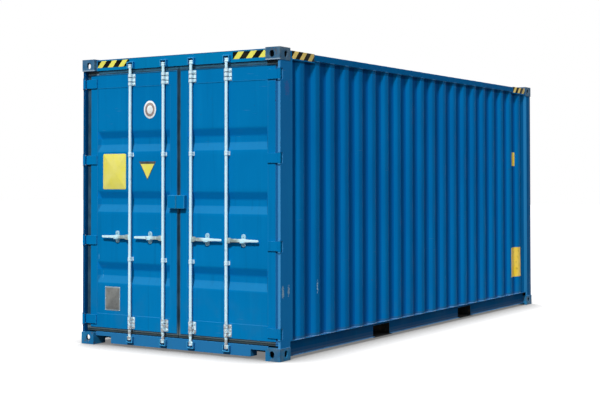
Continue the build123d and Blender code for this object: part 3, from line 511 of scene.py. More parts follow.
def zinc_finish(name, colour, worn=0.0, groove_shade=0.0, rubbed_lugs=0.0):
    """Hot-dipped zinc gone matt and white, with spangle, grey rubs and a little rust bleed.
    The share given after worn paints shade into the grooves and onto the rims of the collars, and
    rubbed_lugs darkens the forks that hold the handles."""
    finish = Finish(name, Specular_IOR_Level=0.4, Metallic=0.05)
    spangle = finish.step(finish.cells(190.0), 0.1, 0.7)
    tone = finish.blend(spangle, mixed(colour, tint(150, 184, 202), 0.15), colour)
    rub = finish.patches(23.0, 4.0, 0.60 - 0.1 * worn, 0.74 - 0.1 * worn, 0.0, 0.35)
    tone = finish.blend(rub, tone, tint(128, 164, 180))
    place = finish.split()
    bleed = finish.patches(13.0, 5.0, 0.68, 0.76, 0.0, 0.3)
    low = finish.times(finish.step(place["Z"], 0.36, 0.28), finish.patches(38.0, 4.0, 0.44, 0.58, 0.0, 0.75))
    tone = finish.blend(finish.most(bleed, low), tone, tint(150, 128, 118))
    reach = finish.maths("ABSOLUTE", place["Y"])
    for offset in ROD_PLACES.values():
        beside = finish.band(reach, offset + 0.017, offset + 0.066)
        lug = finish.times(beside, finish.band(place["Z"], 1.066, 1.126))
        tone = finish.blend(finish.times(lug, rubbed_lugs), tone, tint(128, 140, 134))
    # Painted shade in the grooves and at the rims of the collars.
    for middle, strength in zip(BRACKET_HEIGHTS, (0.4 * groove_shade, 0.9 * groove_shade)):
        from_middle = finish.gap(place["Z"], middle)
        groove = finish.step(finish.gap(from_middle, 0.0215), 0.0062, 0.0040, 0.0, 0.9)
        rim = finish.step(finish.gap(from_middle, 0.0600), 0.0045, 0.0022, 0.0, 0.9)
        tone = finish.blend(finish.times(finish.most(groove, rim), strength), tone, tint(44, 76, 98))
    gloss = finish.patches(31.0, 3.0, 0.3, 0.7, 0.38, 0.6)
    skin = finish.bump(finish.cloud(260.0, 2.0), 0.15, 0.0006)
    return finish.use(Base_Color=tone, Roughness=gloss, Normal=skin)


def handle_finish():
    """Worn zinc on the handles: pale and cool along the grip, rubbed down to grey-brown about the hub."""
    finish = Finish("handle_zinc", Specular_IOR_Level=0.4, Metallic=0.05)
    reach = finish.maths("ABSOLUTE", finish.split()["Y"])
    inner = finish.times(finish.step(reach, 0.15, 0.17), finish.step(reach, 0.34, 0.27))
    outer = finish.times(finish.step(reach, 0.58, 0.60), finish.step(reach, 0.77, 0.70))
    hub = finish.times(finish.most(inner, outer), finish.patches(24.0, 4.0, 0.3, 0.6, 0.45, 1.0))
    tone = finish.blend(hub, tint(206, 240, 248), tint(134, 148, 142))
    rub = finish.patches(30.0, 4.0, 0.58, 0.7, 0.0, 0.4)
    tone = finish.blend(rub, tone, tint(96, 118, 128))
    gloss = finish.patches(31.0, 3.0, 0.3, 0.7, 0.35, 0.6)
    skin = finish.bump(finish.cloud(260.0, 2.0), 0.15, 0.0006)
    return finish.use(Base_Color=tone, Roughness=gloss, Normal=skin)


def rubber_finish():
    """Black door rubber gone brown and dusty, with painted light on its top where the header shades it,
    painted shade near black under the top castings, a painted highlight on the lip below that,
    and the right leaf's outer rim blended towards the door blue.
    """
    finish = Finish("seal_rubber", Specular_IOR_Level=0.25)
    dust = finish.patches(7.0, 4.0, 0.35, 0.7)
    tone = finish.blend(dust, tint(26, 58, 78), tint(46, 82, 104))
    place = finish.split()
    low = finish.step(place["Z"], 0.30, 0.17, 0.0, 0.8)
    lip_dust = finish.blend(finish.step(place["Z"], 0.150, 0.166), tint(34, 46, 46), tint(92, 108, 112))
    tone = finish.blend(low, tone, lip_dust)
    wide = finish.step(finish.maths("ABSOLUTE", place["Y"]), 1.03, 1.05)
    # Painted light: the top of the seal lightened where the header shades it.
    tone = finish.blend(finish.step(place["Z"], 2.744, 2.770, 0.0, 0.9), tone, tint(64, 130, 162))
    # Painted shade: near black under the top castings, at the outer corners.
    shade = finish.times(wide, finish.step(place["Z"], 2.752, 2.756, 0.0, 0.96))
    tone = finish.blend(shade, tone, tint(4, 8, 14))
    # Painted highlight: a pale lip below that painted shade.
    lip = finish.times(wide, finish.band(place["Z"], 2.739, 2.750))
    tone = finish.blend(finish.times(lip, 0.7), tone, tint(140, 156, 160))
    # The right leaf's outer rim of the seal, below 2.70, blended towards the door blue.
    right_rim_blue = finish.step(place["Y"], -1.130, -1.142, 0.0, 0.85)
    right_rim_blue = finish.times(right_rim_blue, finish.step(place["Z"], 2.73, 2.70))
    tone = finish.blend(right_rim_blue, tone, tint(12, 104, 166))
    grain = finish.bump(finish.cloud(240.0, 3.0), 0.3, 0.0008)
    gloss = finish.patches(11.0, 3.0, 0.3, 0.7, 0.6, 0.85)
    return finish.use(Base_Color=tone, Roughness=gloss, Normal=grain)


def plywood_finish():
    """Oiled floor plywood: long grain, darker bands, wheel rubs."""
    finish = Finish("floor_plywood", Specular_IOR_Level=0.3)
    grain = finish.cloud(1.0, 6.0, finish.stretched((3.0, 70.0, 70.0)), 0.6)
    tone = finish.blend(finish.step(grain, 0.3, 0.7), tint(92, 60, 40), tint(140, 98, 66))
    band = finish.step(finish.cloud(1.3, 3.0, finish.stretched((0.6, 3.0, 1.0))), 0.4, 0.65, 0.0, 0.6)
    tone = finish.blend(band, tone, tint(76, 52, 38))
    rub = finish.step(finish.cloud(1.0, 4.0, finish.stretched((1.2, 22.0, 1.0))), 0.58, 0.7, 0.0, 0.5)
    tone = finish.blend(rub, tone, tint(120, 112, 102))
    gloss = finish.step(grain, 0.3, 0.7, 0.55, 0.8)
    line = finish.bump(grain, 0.3, 0.001)
    return finish.use(Base_Color=tone, Roughness=gloss, Normal=line)


def underframe_finish():
    """Black wax sprayed on blue steel, mud and rust in patches."""
    finish = Finish("underframe_wax", Specular_IOR_Level=0.25)
    wax = finish.patches(5.0, 4.0, 0.35, 0.65)
    tone = finish.blend(wax, tint(18, 20, 22), tint(38, 40, 42))
    mud = finish.patches(8.0, 5.0, 0.58, 0.7, 0.0, 0.7)
    tone = finish.blend(mud, tone, tint(88, 74, 60))
    lump = finish.bump(finish.cloud(60.0, 4.0), 0.4, 0.003)
    gloss = finish.patches(9.0, 3.0, 0.3, 0.7, 0.5, 0.8)
    return finish.use(Base_Color=tone, Roughness=gloss, Normal=lump)


def hazard_finish(name, yellow):
    """Leaning yellow bars on black from the plate's own map, whose U counts the bands."""
    finish = Finish(name, Specular_IOR_Level=0.05)
    map_u = finish.add("ShaderNodeUVMap", {}, uv_map="bands").outputs["UV"]
    band = finish.add("ShaderNodeSeparateXYZ", {"Vector": map_u}).outputs["X"]
    along = finish.maths("FRACT", finish.times(band, 0.5))
    bar = finish.times(finish.step(along, 0.50, 0.53), finish.step(along, 1.0, 0.985))
    tone = finish.blend(bar, tint(10, 12, 12), yellow)
    grime = finish.patches(12.0, 5.0, 0.5, 0.72, 0.0, 0.2)
    tone = finish.blend(grime, tone, tint(84, 82, 60))
    gloss = finish.patches(9.0, 3.0, 0.3, 0.7, 0.4, 0.6)
    film = finish.bump(finish.cloud(300.0, 1.0), 0.08, 0.0004)
    return finish.use(Base_Color=tone, Roughness=gloss, Normal=film)


def plate_finish(name, colour, dirt, amount=0.5, metallic=0.0):
    """A plain plate or film: sun-faded, with dirt in patches."""
    finish = Finish(name, Specular_IOR_Level=0.3, Metallic=metallic)
    fade = finish.patches(9.0, 3.0, 0.3, 0.7)
    tone = finish.blend(fade, colour, mixed(colour, tint(225, 225, 215), 0.14))
    grime = finish.patches(19.0, 5.0, 0.5, 0.75, 0.0, amount)
    tone = finish.blend(grime, tone, dirt)
    gloss = finish.patches(15.0, 3.0, 0.3, 0.7, 0.35, 0.6)
    skin = finish.bump(finish.cloud(180.0, 2.0), 0.1, 0.0005)
    return finish.use(Base_Color=tone, Roughness=gloss, Normal=skin)


# Tones, marks and the finishes in use

SHELL_BLUE = tint(2, 118, 190)
DOOR_BLUE = tint(1, 119, 182)
FADED_BLUE = tint(12, 138, 198)
# Painted shade for the valleys of the side walls' waves.
VALLEY_SHADE_BLUE = tint(2, 90, 166)
# Painted shade: darkens the rails, the left rear post's front strip and bands on the front posts.
SHADE_NAVY = tint(4, 52, 98)
# Painted shade under the side walls' top rail and along the header's top edge.
PAINTED_SHADE = tint(8, 34, 56)
# Painted highlight and wear on the right rear post's front strip.
WORN_HIGHLIGHT_PALE = tint(110, 178, 214)
# Dust and painted light from the ground, towards the foot of the bottom rails.
DUST_AND_GROUND_LIGHT = tint(120, 134, 146)
RUBBED = tint(176, 204, 208)
SCRATCHED = tint(90, 160, 205)

# Side walls: painted shade in the valleys of the waves and under the top rail, and a greyer tone at the
# foot.
wall_marks = [
    ("Y", -1.184, -1.160, VALLEY_SHADE_BLUE, 0.8),
    ("Y", 1.160, 1.184, VALLEY_SHADE_BLUE, 0.8),
    ("Z", 0.170, 0.200, tint(60, 98, 116), 0.35),
    ("Z", 2.770, 2.812, PAINTED_SHADE, 0.45),
]
# Bottom rails: lighter towards the foot, dust and painted light from the ground.
rail_marks = [("Z", 0.020, 0.055, DUST_AND_GROUND_LIGHT, 0.35), ("Z", 0.060, 0.085, DUST_AND_GROUND_LIGHT, 0.12)]
# Header: painted shade along its top edge.
header_marks = [("Z", 2.884, 2.900, PAINTED_SHADE, 0.6)]
# Door leaves: painted shade along the top of each leaf, under the header.
leaf_marks = [("Z", 2.726, 2.742, tint(24, 62, 84), 0.7)]
# Rear posts: painted shade on the left post's front strip, painted highlight and wear on the right post's.
rear_marks = [("Y", 1.186, 1.2145, SHADE_NAVY, 0.8), ("Y", -1.2145, -1.186, WORN_HIGHLIGHT_PALE, 0.35)]
# Front posts, bands along X: painted shade, a painted highlight where the post turns towards the door end,
# painted shade again, and a grey band by the end.
front_marks = [
    ("X", 2.765, 2.812, SHADE_NAVY, 0.3),
    ("X", 2.818, 2.890, tint(66, 164, 226), 0.5),
    ("X", 2.895, 2.952, SHADE_NAVY, 0.5),
    ("X", 2.956, 3.04, tint(56, 88, 108), 0.5),
]
# Door troughs: each upward-facing lower slope paler and greyer, dust and painted highlight; each
# downward-facing upper slope a brighter blue, painted light.
panel_marks = []
for middle in TROUGH_HEIGHTS:
    foot, head = middle - TROUGH_HALF, middle + TROUGH_HALF
    panel_marks.append(("Z", foot + 0.004, foot + TROUGH_RUN, tint(56, 132, 170), 0.25))
    panel_marks.append(("Z", head - TROUGH_RUN, head - 0.004, tint(1, 125, 199), 0.8))
wall_scuffs = [((-2.366, -1.195, 0.640), (0.010, 0.04, 0.056), tint(170, 216, 240), 0.8)]
rear_scuffs = [
    ((-2.975, -1.2145, 0.632), (0.016, 0.01, 0.056), RUBBED, 0.6),
    ((-2.878, -1.2145, 0.640), (0.015, 0.01, 0.044), RUBBED, 0.5),
    ((-2.905, -1.2145, 2.520), (0.040, 0.01, 0.070), tint(90, 84, 150), 0.30),
]
panel_scuffs = [
    ((-2.975, 1.030, 0.880), (0.05, 0.006, 0.030), SCRATCHED, 0.4),
    ((-2.975, 1.000, 0.700), (0.05, 0.005, 0.040), SCRATCHED, 0.35),
]

shell_paint = weathered_paint("shell_paint", SHELL_BLUE, dust=0.4)
wall_paint = weathered_paint("wall_paint", SHELL_BLUE, marks=wall_marks, scuffs=wall_scuffs)
header_paint = weathered_paint("header_paint", tint(3, 126, 182), marks=header_marks)
# Top rails: a darker copy of the shell paint, painted shade.
top_rail_paint = weathered_paint("top_rail_paint", mixed(SHELL_BLUE, SHADE_NAVY, 0.35))
rear_post_paint = weathered_paint("rear_post_paint", SHELL_BLUE, 0.4, marks=rear_marks, scuffs=rear_scuffs)
front_post_paint = weathered_paint("front_post_paint", SHELL_BLUE, 0.2, marks=front_marks)
# Bottom rails: a darker copy of the shell paint, painted shade in their recess under the walls.
rail_paint = weathered_paint("rail_paint", mixed(SHELL_BLUE, SHADE_NAVY, 0.62), marks=rail_marks)
# Edge finishes on the bevels: paler copies of their paint, wear and painted highlight.
rail_edge = weathered_paint("rail_edge_paint", mixed(SHELL_BLUE, tint(120, 170, 200), 0.30), 1.0)
shell_edge = weathered_paint("shell_edge_paint", mixed(SHELL_BLUE, tint(120, 170, 200), 0.22), 1.0)
door_paint = weathered_paint("door_leaf_paint", DOOR_BLUE, marks=leaf_marks)
panel_paint = weathered_paint("door_panel_paint", DOOR_BLUE, marks=panel_marks, scuffs=panel_scuffs)
# Panel welds: paler than the door blue, a painted highlight against the shade line at the panel's head.
panel_weld_highlight_paint = weathered_paint("panel_weld_highlight_paint", mixed(DOOR_BLUE, tint(70, 166, 220), 0.15))
# Edge finishes: paler copies, wear and painted highlight; the hinge edge is wholly a painted highlight.
door_edge = weathered_paint("door_edge_paint", mixed(DOOR_BLUE, tint(120, 180, 210), 0.12), 1.0)
hinge_highlight = weathered_paint("hinge_edge_paint", mixed(DOOR_BLUE, tint(100, 200, 244), 0.7))
post_edge = weathered_paint("post_edge_paint", mixed(DOOR_BLUE, tint(100, 190, 232), 0.4), 0.2)
weld_paint = weathered_paint("weld_paint", mixed(SHELL_BLUE, tint(130, 170, 190), 0.30), 0.6)
foot_weld_paint = weathered_paint("foot_weld_paint", mixed(SHELL_BLUE, tint(200, 214, 222), 0.35), 1.0)
casting_steel = casting_finish("casting_steel")
casting_edge = casting_finish("casting_worn_edge", 1.0)
zinc = zinc_finish("gear_zinc", tint(208, 244, 255), rubbed_lugs=0.8)
rest_zinc = zinc_finish("rest_zinc", tint(160, 204, 220), 0.7)
collar_zinc = zinc_finish("collar_zinc", tint(216, 242, 250), 0.3, 1.0)
handle_zinc = handle_finish()
seal_rubber = rubber_finish()
plywood = plywood_finish()
wax = underframe_finish()
door_hazard = hazard_finish("header_hazard_film", tint(240, 234, 104))
side_hazard = hazard_finish("rail_hazard_film", tint(255, 226, 130))
yellow_plate = plate_finish("yellow_plate", tint(231, 223, 90), tint(176, 176, 96), 0.15)
amber_film = plate_finish("amber_film", tint(255, 218, 36), tint(150, 112, 20), 0.45)
data_plate = plate_finish("data_plate_alloy", tint(98, 101, 101), tint(74, 72, 68), 0.5)
data_border = plate_finish("data_plate_border", tint(128, 146, 156), tint(110, 120, 124), 0.4)
dark_line = plate_finish("dark_film_line", tint(26, 32, 30), tint(50, 52, 44), 0.4)
white_film = plate_finish("white_film", tint(238, 246, 248), tint(170, 180, 184), 0.3)
disc_ring = plate_finish("disc_ring_film", tint(150, 128, 124), tint(96, 92, 96), 0.8)


# Camera, light and floor

def photograph_camera():
    """A camera at the photograph's place, with its lens and its off-centre frame."""
    turn, lift, roll = (math.radians(a) for a in CAMERA_TURNS)
    ahead = Vector((math.cos(turn) * math.cos(lift), math.sin(turn) * math.cos(lift), math.sin(lift)))
    level = Vector((math.sin(turn), -math.cos(turn), 0))
    upward = level.cross(ahead)
    across = level * math.cos(roll) + upward * math.sin(roll)
    above = -level * math.sin(roll) + upward * math.cos(roll)
    camera = bpy.data.objects.new("photograph_camera", bpy.data.cameras.new("photograph_camera"))
    camera.data.lens = CAMERA_LENS
    camera.data.sensor_width = 36.0
    camera.data.shift_x, camera.data.shift_y = CAMERA_SHIFT
    camera.data.clip_end = 100.0
    turned = Matrix((across, above, -ahead)).transposed().to_4x4()
    camera.matrix_world = Matrix.Translation(CAMERA_PLACE) @ turned
    bpy.context.scene.collection.objects.link(camera)
    bpy.context.scene.camera = camera


def soft_sun(name, towards_light, strength, softness):
    """A distant soft lamp that shines from the given direction."""
    lamp = bpy.data.lights.new(name, "SUN")
    lamp.energy = strength
    lamp.angle = math.radians(softness)
    sun = bpy.data.objects.new(name, lamp)
    sun.rotation_euler = Vector(towards_light).to_track_quat("Z", "Y").to_euler()
    bpy.context.scene.collection.objects.link(sun)


def seen_directly(tree):
    """One where the camera, a reflection or a transmission looks, and nought where light bounces."""
    path = add_node(tree, "ShaderNodeLightPath", {}).outputs
    seen = path["Is Camera Ray"]
    for other in ("Is Glossy Ray", "Is Transmission Ray"):
        either = add_node(tree, "ShaderNodeMath", {0: seen, 1: path[other]}, operation="MAXIMUM")
        seen = either.outputs["Value"]
    return seen


def plain_world():
    """A dim even sky for the light, and white where it is seen."""
    world = bpy.data.worlds.new("studio")
    bpy.context.scene.world = world
    world.use_nodes = True
    tree = world.node_tree
    inputs = {"Value": seen_directly(tree), "To Min": 0.44, "To Max": 1.0}
    strength = add_node(tree, "ShaderNodeMapRange", inputs)
    backdrop = tree.nodes["Background"].inputs
    backdrop["Color"].default_value = (1.0, 1.0, 1.0, 1.0)
    tree.links.new(strength.outputs["Result"], backdrop["Strength"])


def studio_floor():
    """A plain floor, white where it is seen, with a painted contact shadow:
    it darkens by ambient occlusion towards anything that stands close over it.
    """
    side = np.linspace(-60, 60, 61)
    across, along = np.meshgrid(side, side, indexing="ij")
    height = np.full_like(across, -0.0005)
    points = np.stack([across, along, height], axis=-1).reshape(-1, 3)
    mesh = bpy.data.meshes.new("studio_floor")
    mesh.from_pydata(points.tolist(), [], grid_faces(61, 61)[:, ::-1].tolist())
    floor = bpy.data.objects.new("studio_floor", mesh)
    bpy.context.scene.collection.objects.link(floor)
    material = bpy.data.materials.new("floor_paper")
    material.use_nodes = True
    tree = material.node_tree
    tree.nodes.remove(tree.nodes["Principled BSDF"])
    paper = add_node(tree, "ShaderNodeBsdfDiffuse", {"Color": (0.10, 0.10, 0.10, 1.0)})
    # Painted contact shadow: ambient occlusion darkens the floor's glow and colour near the container.
    nearby = add_node(tree, "ShaderNodeAmbientOcclusion", {"Distance": 0.65}, samples=12)
    inputs = {"Value": nearby.outputs["AO"], "From Min": 0.40, "From Max": 0.96, "To Min": 0.2}
    open_share = add_node(tree, "ShaderNodeMapRange", inputs).outputs["Result"]
    grey = add_node(tree, "ShaderNodeMath", {0: open_share, 1: 0.3}, operation="MULTIPLY").outputs["Value"]
    lit = add_node(tree, "ShaderNodeBsdfDiffuse", {"Color": grey})
    glow = add_node(tree, "ShaderNodeEmission", {"Strength": open_share})
    together = add_node(tree, "ShaderNodeAddShader", {0: lit.outputs[0], 1: glow.outputs[0]})
    inputs = {"Fac": seen_directly(tree), 1: paper.outputs[0], 2: together.outputs[0]}
    choice = add_node(tree, "ShaderNodeMixShader", inputs)
    tree.links.new(choice.outputs[0], tree.nodes["Material Output"].inputs["Surface"])
    mesh.materials.append(material)


photograph_camera()
plain_world()
studio_floor()
soft_sun("key_light", (-0.668, -0.185, 0.721), 3.12, 7)
soft_sun("far_light", (0.62, 0.60, 0.50), 0.7, 30)
bpy.context.scene.view_settings.view_transform = "Standard"


# Corrugated walls, front wall and roof

def wave_rise(place, wave):
    """Share of the depth at a place measured from a crest: flat crest, straight slope, flat valley.
    Each bend is rounded by averaging the wave over its width."""
    offsets = np.linspace(-wave["bend"], wave["bend"], 9)
    spread = np.asarray(place)[..., None] + offsets
    from_crest = np.abs((spread / wave["pitch"] + 0.5) % 1.0 - 0.5) * wave["pitch"]
    share = 1 - np.clip((from_crest - wave["outer"] / 2) / wave["slope"], 0, 1)
    return share.mean(axis=-1)


def dents(along, up, seed, size):
    """Shallow hollows: size times a half plus the mean of nine slow waves at chance angles."""
    rng = np.random.default_rng(seed)
    total = np.zeros(np.broadcast(along, up).shape)
    waves = 9
    for _ in range(waves):
        pace = rng.uniform(1.5, 9.0, 2)
        total += np.cos(pace[0] * along + pace[1] * up + rng.uniform(0, 6.28)) / waves
    return size * (0.5 + total)


def held(up):
    """The root of half a sine wave: nought at a wall's foot and head, one half way up."""
    return np.sin(np.pi * (up - FLOOR_TOP) / (WALL_TOP - FLOOR_TOP)) ** 0.5


def wall_waves(along):
    """How far out a side wall's waves stand: full width at a crest, less the depth in a valley."""
    return WALL_OUTER - SIDE_WAVE["depth"] * (1 - wave_rise(along - SIDE_CREST, SIDE_WAVE))


def wall_reach(along, up, side):
    """How far out a side wall stands: its waves, less dents that die away to its foot and head."""
    return wall_waves(along) - dents(along, up, 11 + side, 0.0035) * held(up)


def side_wall(side_name, side):
    """Upright waves along X, height rows in Z, pushed in a little by dents, with a sheet's thickness."""
    steps = 26
    x = np.arange(-2 * steps, (SIDE_WAVES + 2) * steps) * SIDE_WAVE["pitch"] / steps + SIDE_CREST
    low_x = WALL_START - HALF_LENGTH
    high_x = HALF_LENGTH - WALL_END
    x = np.concatenate([[low_x], x[(x > low_x + 0.002) & (x < high_x - 0.002)], [high_x]])
    along, up = np.meshgrid(x, np.linspace(FLOOR_TOP, WALL_TOP, 30), indexing="ij")
    reach = wall_reach(along, up, side)
    front = np.stack([along, side * reach, up], axis=-1)
    back = np.stack([along, side * (reach - SHEET), up], axis=-1)
    shape = sheet_shell(front, back)
    wall = wear_piece(f"{side_name}_wall_sheet", shape, "shell", wall_paint, 40)
    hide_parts(f"{side_name}_side_wall")


def front_wall():
    """Deeper, steeper waves across the front end, as a sheet."""
    y = np.linspace(-CASTING_INNER, CASTING_INNER, 420)
    along, up = np.meshgrid(y, np.linspace(FLOOR_TOP, WALL_TOP, 24), indexing="ij")
    inside = np.abs(along) < -FRONT_CREST + FRONT_WAVE["outer"] / 2 + FRONT_WAVE["slope"] + 0.01
    rise = np.where(inside, wave_rise(along - FRONT_CREST, FRONT_WAVE), 0)
    out = HALF_LENGTH - FRONT_VALLEY + FRONT_WAVE["depth"] * rise - dents(along, up, 5, 0.003) * held(up)
    front = np.stack([out, along, up], axis=-1)
    back = np.stack([out - SHEET, along, up], axis=-1)
    shape = sheet_shell(front, back)
    wall = wear_piece("front_wall_sheet", shape, "shell", shell_paint, 40)
    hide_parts("front_wall")


def roof_sheet():
    """Crosswise crowns that die away to the flat edge, cut back beside the front castings."""
    low_x = ROOF_START - HALF_LENGTH
    high_x = HALF_LENGTH - FRONT_RAIL_RECESS
    step_x = HALF_LENGTH - CASTING_LENGTH
    x = np.concatenate([np.arange(low_x, high_x, 0.0095), [step_x, step_x + 1e-4, high_x]])
    x = np.sort(x)
    share = np.concatenate([np.linspace(-1, -0.93, 8), np.linspace(-0.9, 0.9, 25), np.linspace(0.93, 1, 8)])
    along, part = np.meshgrid(x, share, indexing="ij")
    half_width = np.where(along > step_x, CASTING_INNER, ROOF_HALF_WIDTH)
    across = part * half_width
    room = ROOF_WAVES / 2 * ROOF_WAVE["pitch"]
    inside = np.abs(along - ROOF_MIDDLE) < room
    rise = np.where(inside, wave_rise(along - ROOF_CREST, ROOF_WAVE), 0)
    edge = np.clip((ROOF_HALF_WIDTH - np.abs(across) - 0.018) / 0.05, 0, 1)
    edge = edge * edge * (3 - 2 * edge)
    sag = dents(along, across, 21, 0.004) * edge
    top = ROOF_SHEET_TOP + ROOF_WAVE["depth"] * rise * edge - sag * 0.4
    front = np.stack([along, across, top], axis=-1)
    back = np.stack([along, across, top - SHEET], axis=-1)
    roof = wear_piece("roof_sheet", sheet_shell(front, back), "shell", shell_paint, 40)
    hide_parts("roof_panel")


for side_name, side in SIDES:
    side_wall(side_name, side)
front_wall()
roof_sheet()


# Door leaves

def trough_share(across, up):
    """How deep the panel is pressed, from 0 to 1: the least of the four slopes of each trough."""
    share = np.zeros(np.broadcast(across, up).shape)
    low_w = PANEL_INNER + TROUGH_MARGIN
    high_w = PANEL_OUTER - TROUGH_MARGIN
    for middle in TROUGH_HEIGHTS:
        ends = np.minimum(across - low_w, high_w - across) / TROUGH_END_RUN
        slopes = np.minimum(up - (middle - TROUGH_HALF), (middle + TROUGH_HALF) - up) / TROUGH_RUN
        share = np.maximum(share, np.clip(np.minimum(ends, slopes), 0, 1))
    return share


def door_panel(side_name, side):
    """A sheet with three pressed troughs, dented a little. Each bend is rounded by averaging the
    depth over 6 mm either way."""
    near_end = np.linspace(0, 0.042, 13)
    between = np.linspace(PANEL_INNER + 0.055, PANEL_OUTER - 0.055, 76)
    w = np.concatenate([PANEL_INNER + near_end, between, PANEL_OUTER - near_end[::-1]])
    flats = [np.linspace(middle - 0.112, middle + 0.112, 32) for middle in TROUGH_HEIGHTS]
    z = np.unique(np.concatenate([np.linspace(PANEL_LOW, PANEL_HIGH, 40)] + flats))
    across, up = np.meshgrid(w, z, indexing="ij")
    shifts = np.linspace(-0.006, 0.006, 5)
    share = sum(trough_share(across + a, up + b) for a in shifts for b in shifts) / 25
    room = np.minimum(across - PANEL_INNER, PANEL_OUTER - across)
    room = np.minimum(room, np.minimum(up - PANEL_LOW, PANEL_HIGH - up))
    dent = dents(across * 1.5, up, 31 + side, 0.002) * np.clip(room / 0.08, 0, 1) * (1 - share)
    depth = PANEL_FACE + TROUGH_DEPTH * share + dent
    front = np.stack([depth - HALF_LENGTH, side * across, up], axis=-1)
    back = np.stack([depth + SHEET - HALF_LENGTH, side * across, up], axis=-1)
    shape = sheet_shell(front, back)
    panel = wear_piece(f"{side_name}_door_sheet", shape, f"{side_name}_door", panel_paint, 40)
    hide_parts(f"{side_name}_door_panel")


def rectangle_run(inner, outer, low, high):
    """Twelve points along each side of an upright rectangle, as across and up pairs."""
    corners = np.array([[inner, low], [outer, low], [outer, high], [inner, high]])
    steps = np.linspace(0, 1, 13)[:-1, None]
    return np.concatenate([a + (b - a) * steps for a, b in zip(corners, np.roll(corners, -1, 0))])


def door_seal(side_name, side):
    """A lipped band round the leaf, mitred at the corners.
    Share says how far the profile has gone from the leaf's edge to the lip, depth how far back it lies."""
    leaf_run = rectangle_run(LEAF_INNER, LEAF_OUTER, LEAF_LOW, LEAF_HIGH)
    lip_run = rectangle_run(SEAL_CENTRE, SEAL_OUTER, SEAL_LOW, SEAL_HIGH)
    share = np.array([0.01, 0.25, 0.45, 0.55, 0.65, 0.8, 0.93, 1.0, 0.96, 0.7, 0.4, 0.01])
    depth = np.array([0.2, 0.2, 0.12, 0.35, 0.35, 0.1, 0.02, 0.35, 0.8, 0.9, 1.0, 1.0])
    flat = leaf_run[:, None] + (lip_run - leaf_run)[:, None] * share[None, :, None]
    x = SEAL_FACE + (SEAL_BACK - SEAL_FACE) * depth - HALF_LENGTH
    stations = np.stack([np.broadcast_to(x, flat.shape[:2]), side * flat[..., 0], flat[..., 1]], axis=-1)
    shape = closed_ring(stations)
    seal = wear_piece(f"{side_name}_seal_band", shape, f"{side_name}_door", seal_rubber, 50)
    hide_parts(f"{side_name}_door_gasket")


for side_name, side in SIDES:
    door_panel(side_name, side)
    door_seal(side_name, side)
    edged_copy(f"{side_name}_door_frame", door_paint, door_edge, 0.003)
    edged_copy(f"{side_name}_door_hinges", door_paint, hinge_highlight, 0.004)
    edged_copy(f"{side_name}_lock_box", door_paint, hinge_highlight, 0.003)


# Lock rods, cams, brackets and handles

def along_z(outline, heights, shrink):
    """An X and Y outline carried up through heights, drawn in by each step's shrink."""
    centre = outline.mean(axis=0)
    flat = centre + (outline[None] - centre) * np.asarray(shrink)[:, None, None]
    z = np.broadcast_to(np.asarray(heights, float)[:, None, None], (*flat.shape[:2], 1))
    return np.concatenate([flat, z], axis=-1)


def lock_rod(side_name, side, rod_name, offset):
    """A round bar, a cam at each end and a forked lug with a pin for the handle.
    A cam's reach grows from its round back to its nose by the eighth power of a cosine."""
    x = ROD_DEPTH - HALF_LENGTH
    y = side * offset
    angle = np.linspace(0, 2 * np.pi, 28, endpoint=False)
    circle = np.stack([np.cos(angle), np.sin(angle)], axis=-1)
    bar_heights = [ROD_LOW, ROD_LOW + 0.002, ROD_LOW + 0.3, 1.4, 2.2, ROD_HIGH - 0.002, ROD_HIGH]
    bar = closed_run(along_z(circle * ROD_RADIUS + [x, y], bar_heights, [0.9, 1, 1, 1, 1, 1, 0.9]))
    shapes = [bar]
    reach = CAM_RADIUS + (CAM_NOSE - CAM_RADIUS) * np.clip(np.cos(angle), 0, 1) ** 8
    egg = np.stack([reach * np.sin(angle), side * reach * np.cos(angle)], axis=-1) + [x, y]
    for low in (ROD_LOW, ROD_HIGH - CAM_HEIGHT):
        heights = low + np.array([0, 0.003, 0.009, 0.012, 0.024, 0.027, 0.033, 0.036])
        shapes.append(closed_run(along_z(egg, heights, [0.9, 1, 1, 0.93, 0.93, 1, 1, 0.9])))
    pivot = np.array([x, y + side * HANDLE_PIVOT, HANDLE_HEIGHT])
    arc = np.linspace(-np.pi / 2, np.pi / 2, 13)
    radius = 0.0255
    cheek = np.stack([HANDLE_PIVOT + radius * np.cos(arc), radius * np.sin(arc)], axis=-1)
    cheek = np.concatenate([[[0.004, -radius], [0.016, -0.0258]], cheek, [[0.016, 0.0258], [0.004, radius]]])
    for way in (-1, 1):
        middle = (x + way * 0.006, y, HANDLE_HEIGHT)
        shapes.append(pressed_plate(cheek, middle, (0, side, 0), (0, 0, 1), (way, 0, 0), 0.006, 0.0015))
    pin = [(0.0001, -0.0148), (0.0055, -0.0148), (0.0075, -0.0135), (0.0075, -0.012), (0.0058, -0.012),
           (0.0058, 0.012), (0.0075, 0.012), (0.0075, 0.0135), (0.0055, 0.0148), (0.0001, 0.0148)]
    shapes.append(repeated(turned_shape(pin, (1, 0, 0), 16), [pivot]))
    body = f"{side_name}_{rod_name}_rod_body"
    rod = wear_piece(f"{side_name}_{rod_name}_lock_rod", joined(shapes), body, zinc, 35)
    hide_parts(f"{side_name}_{rod_name}_rod")


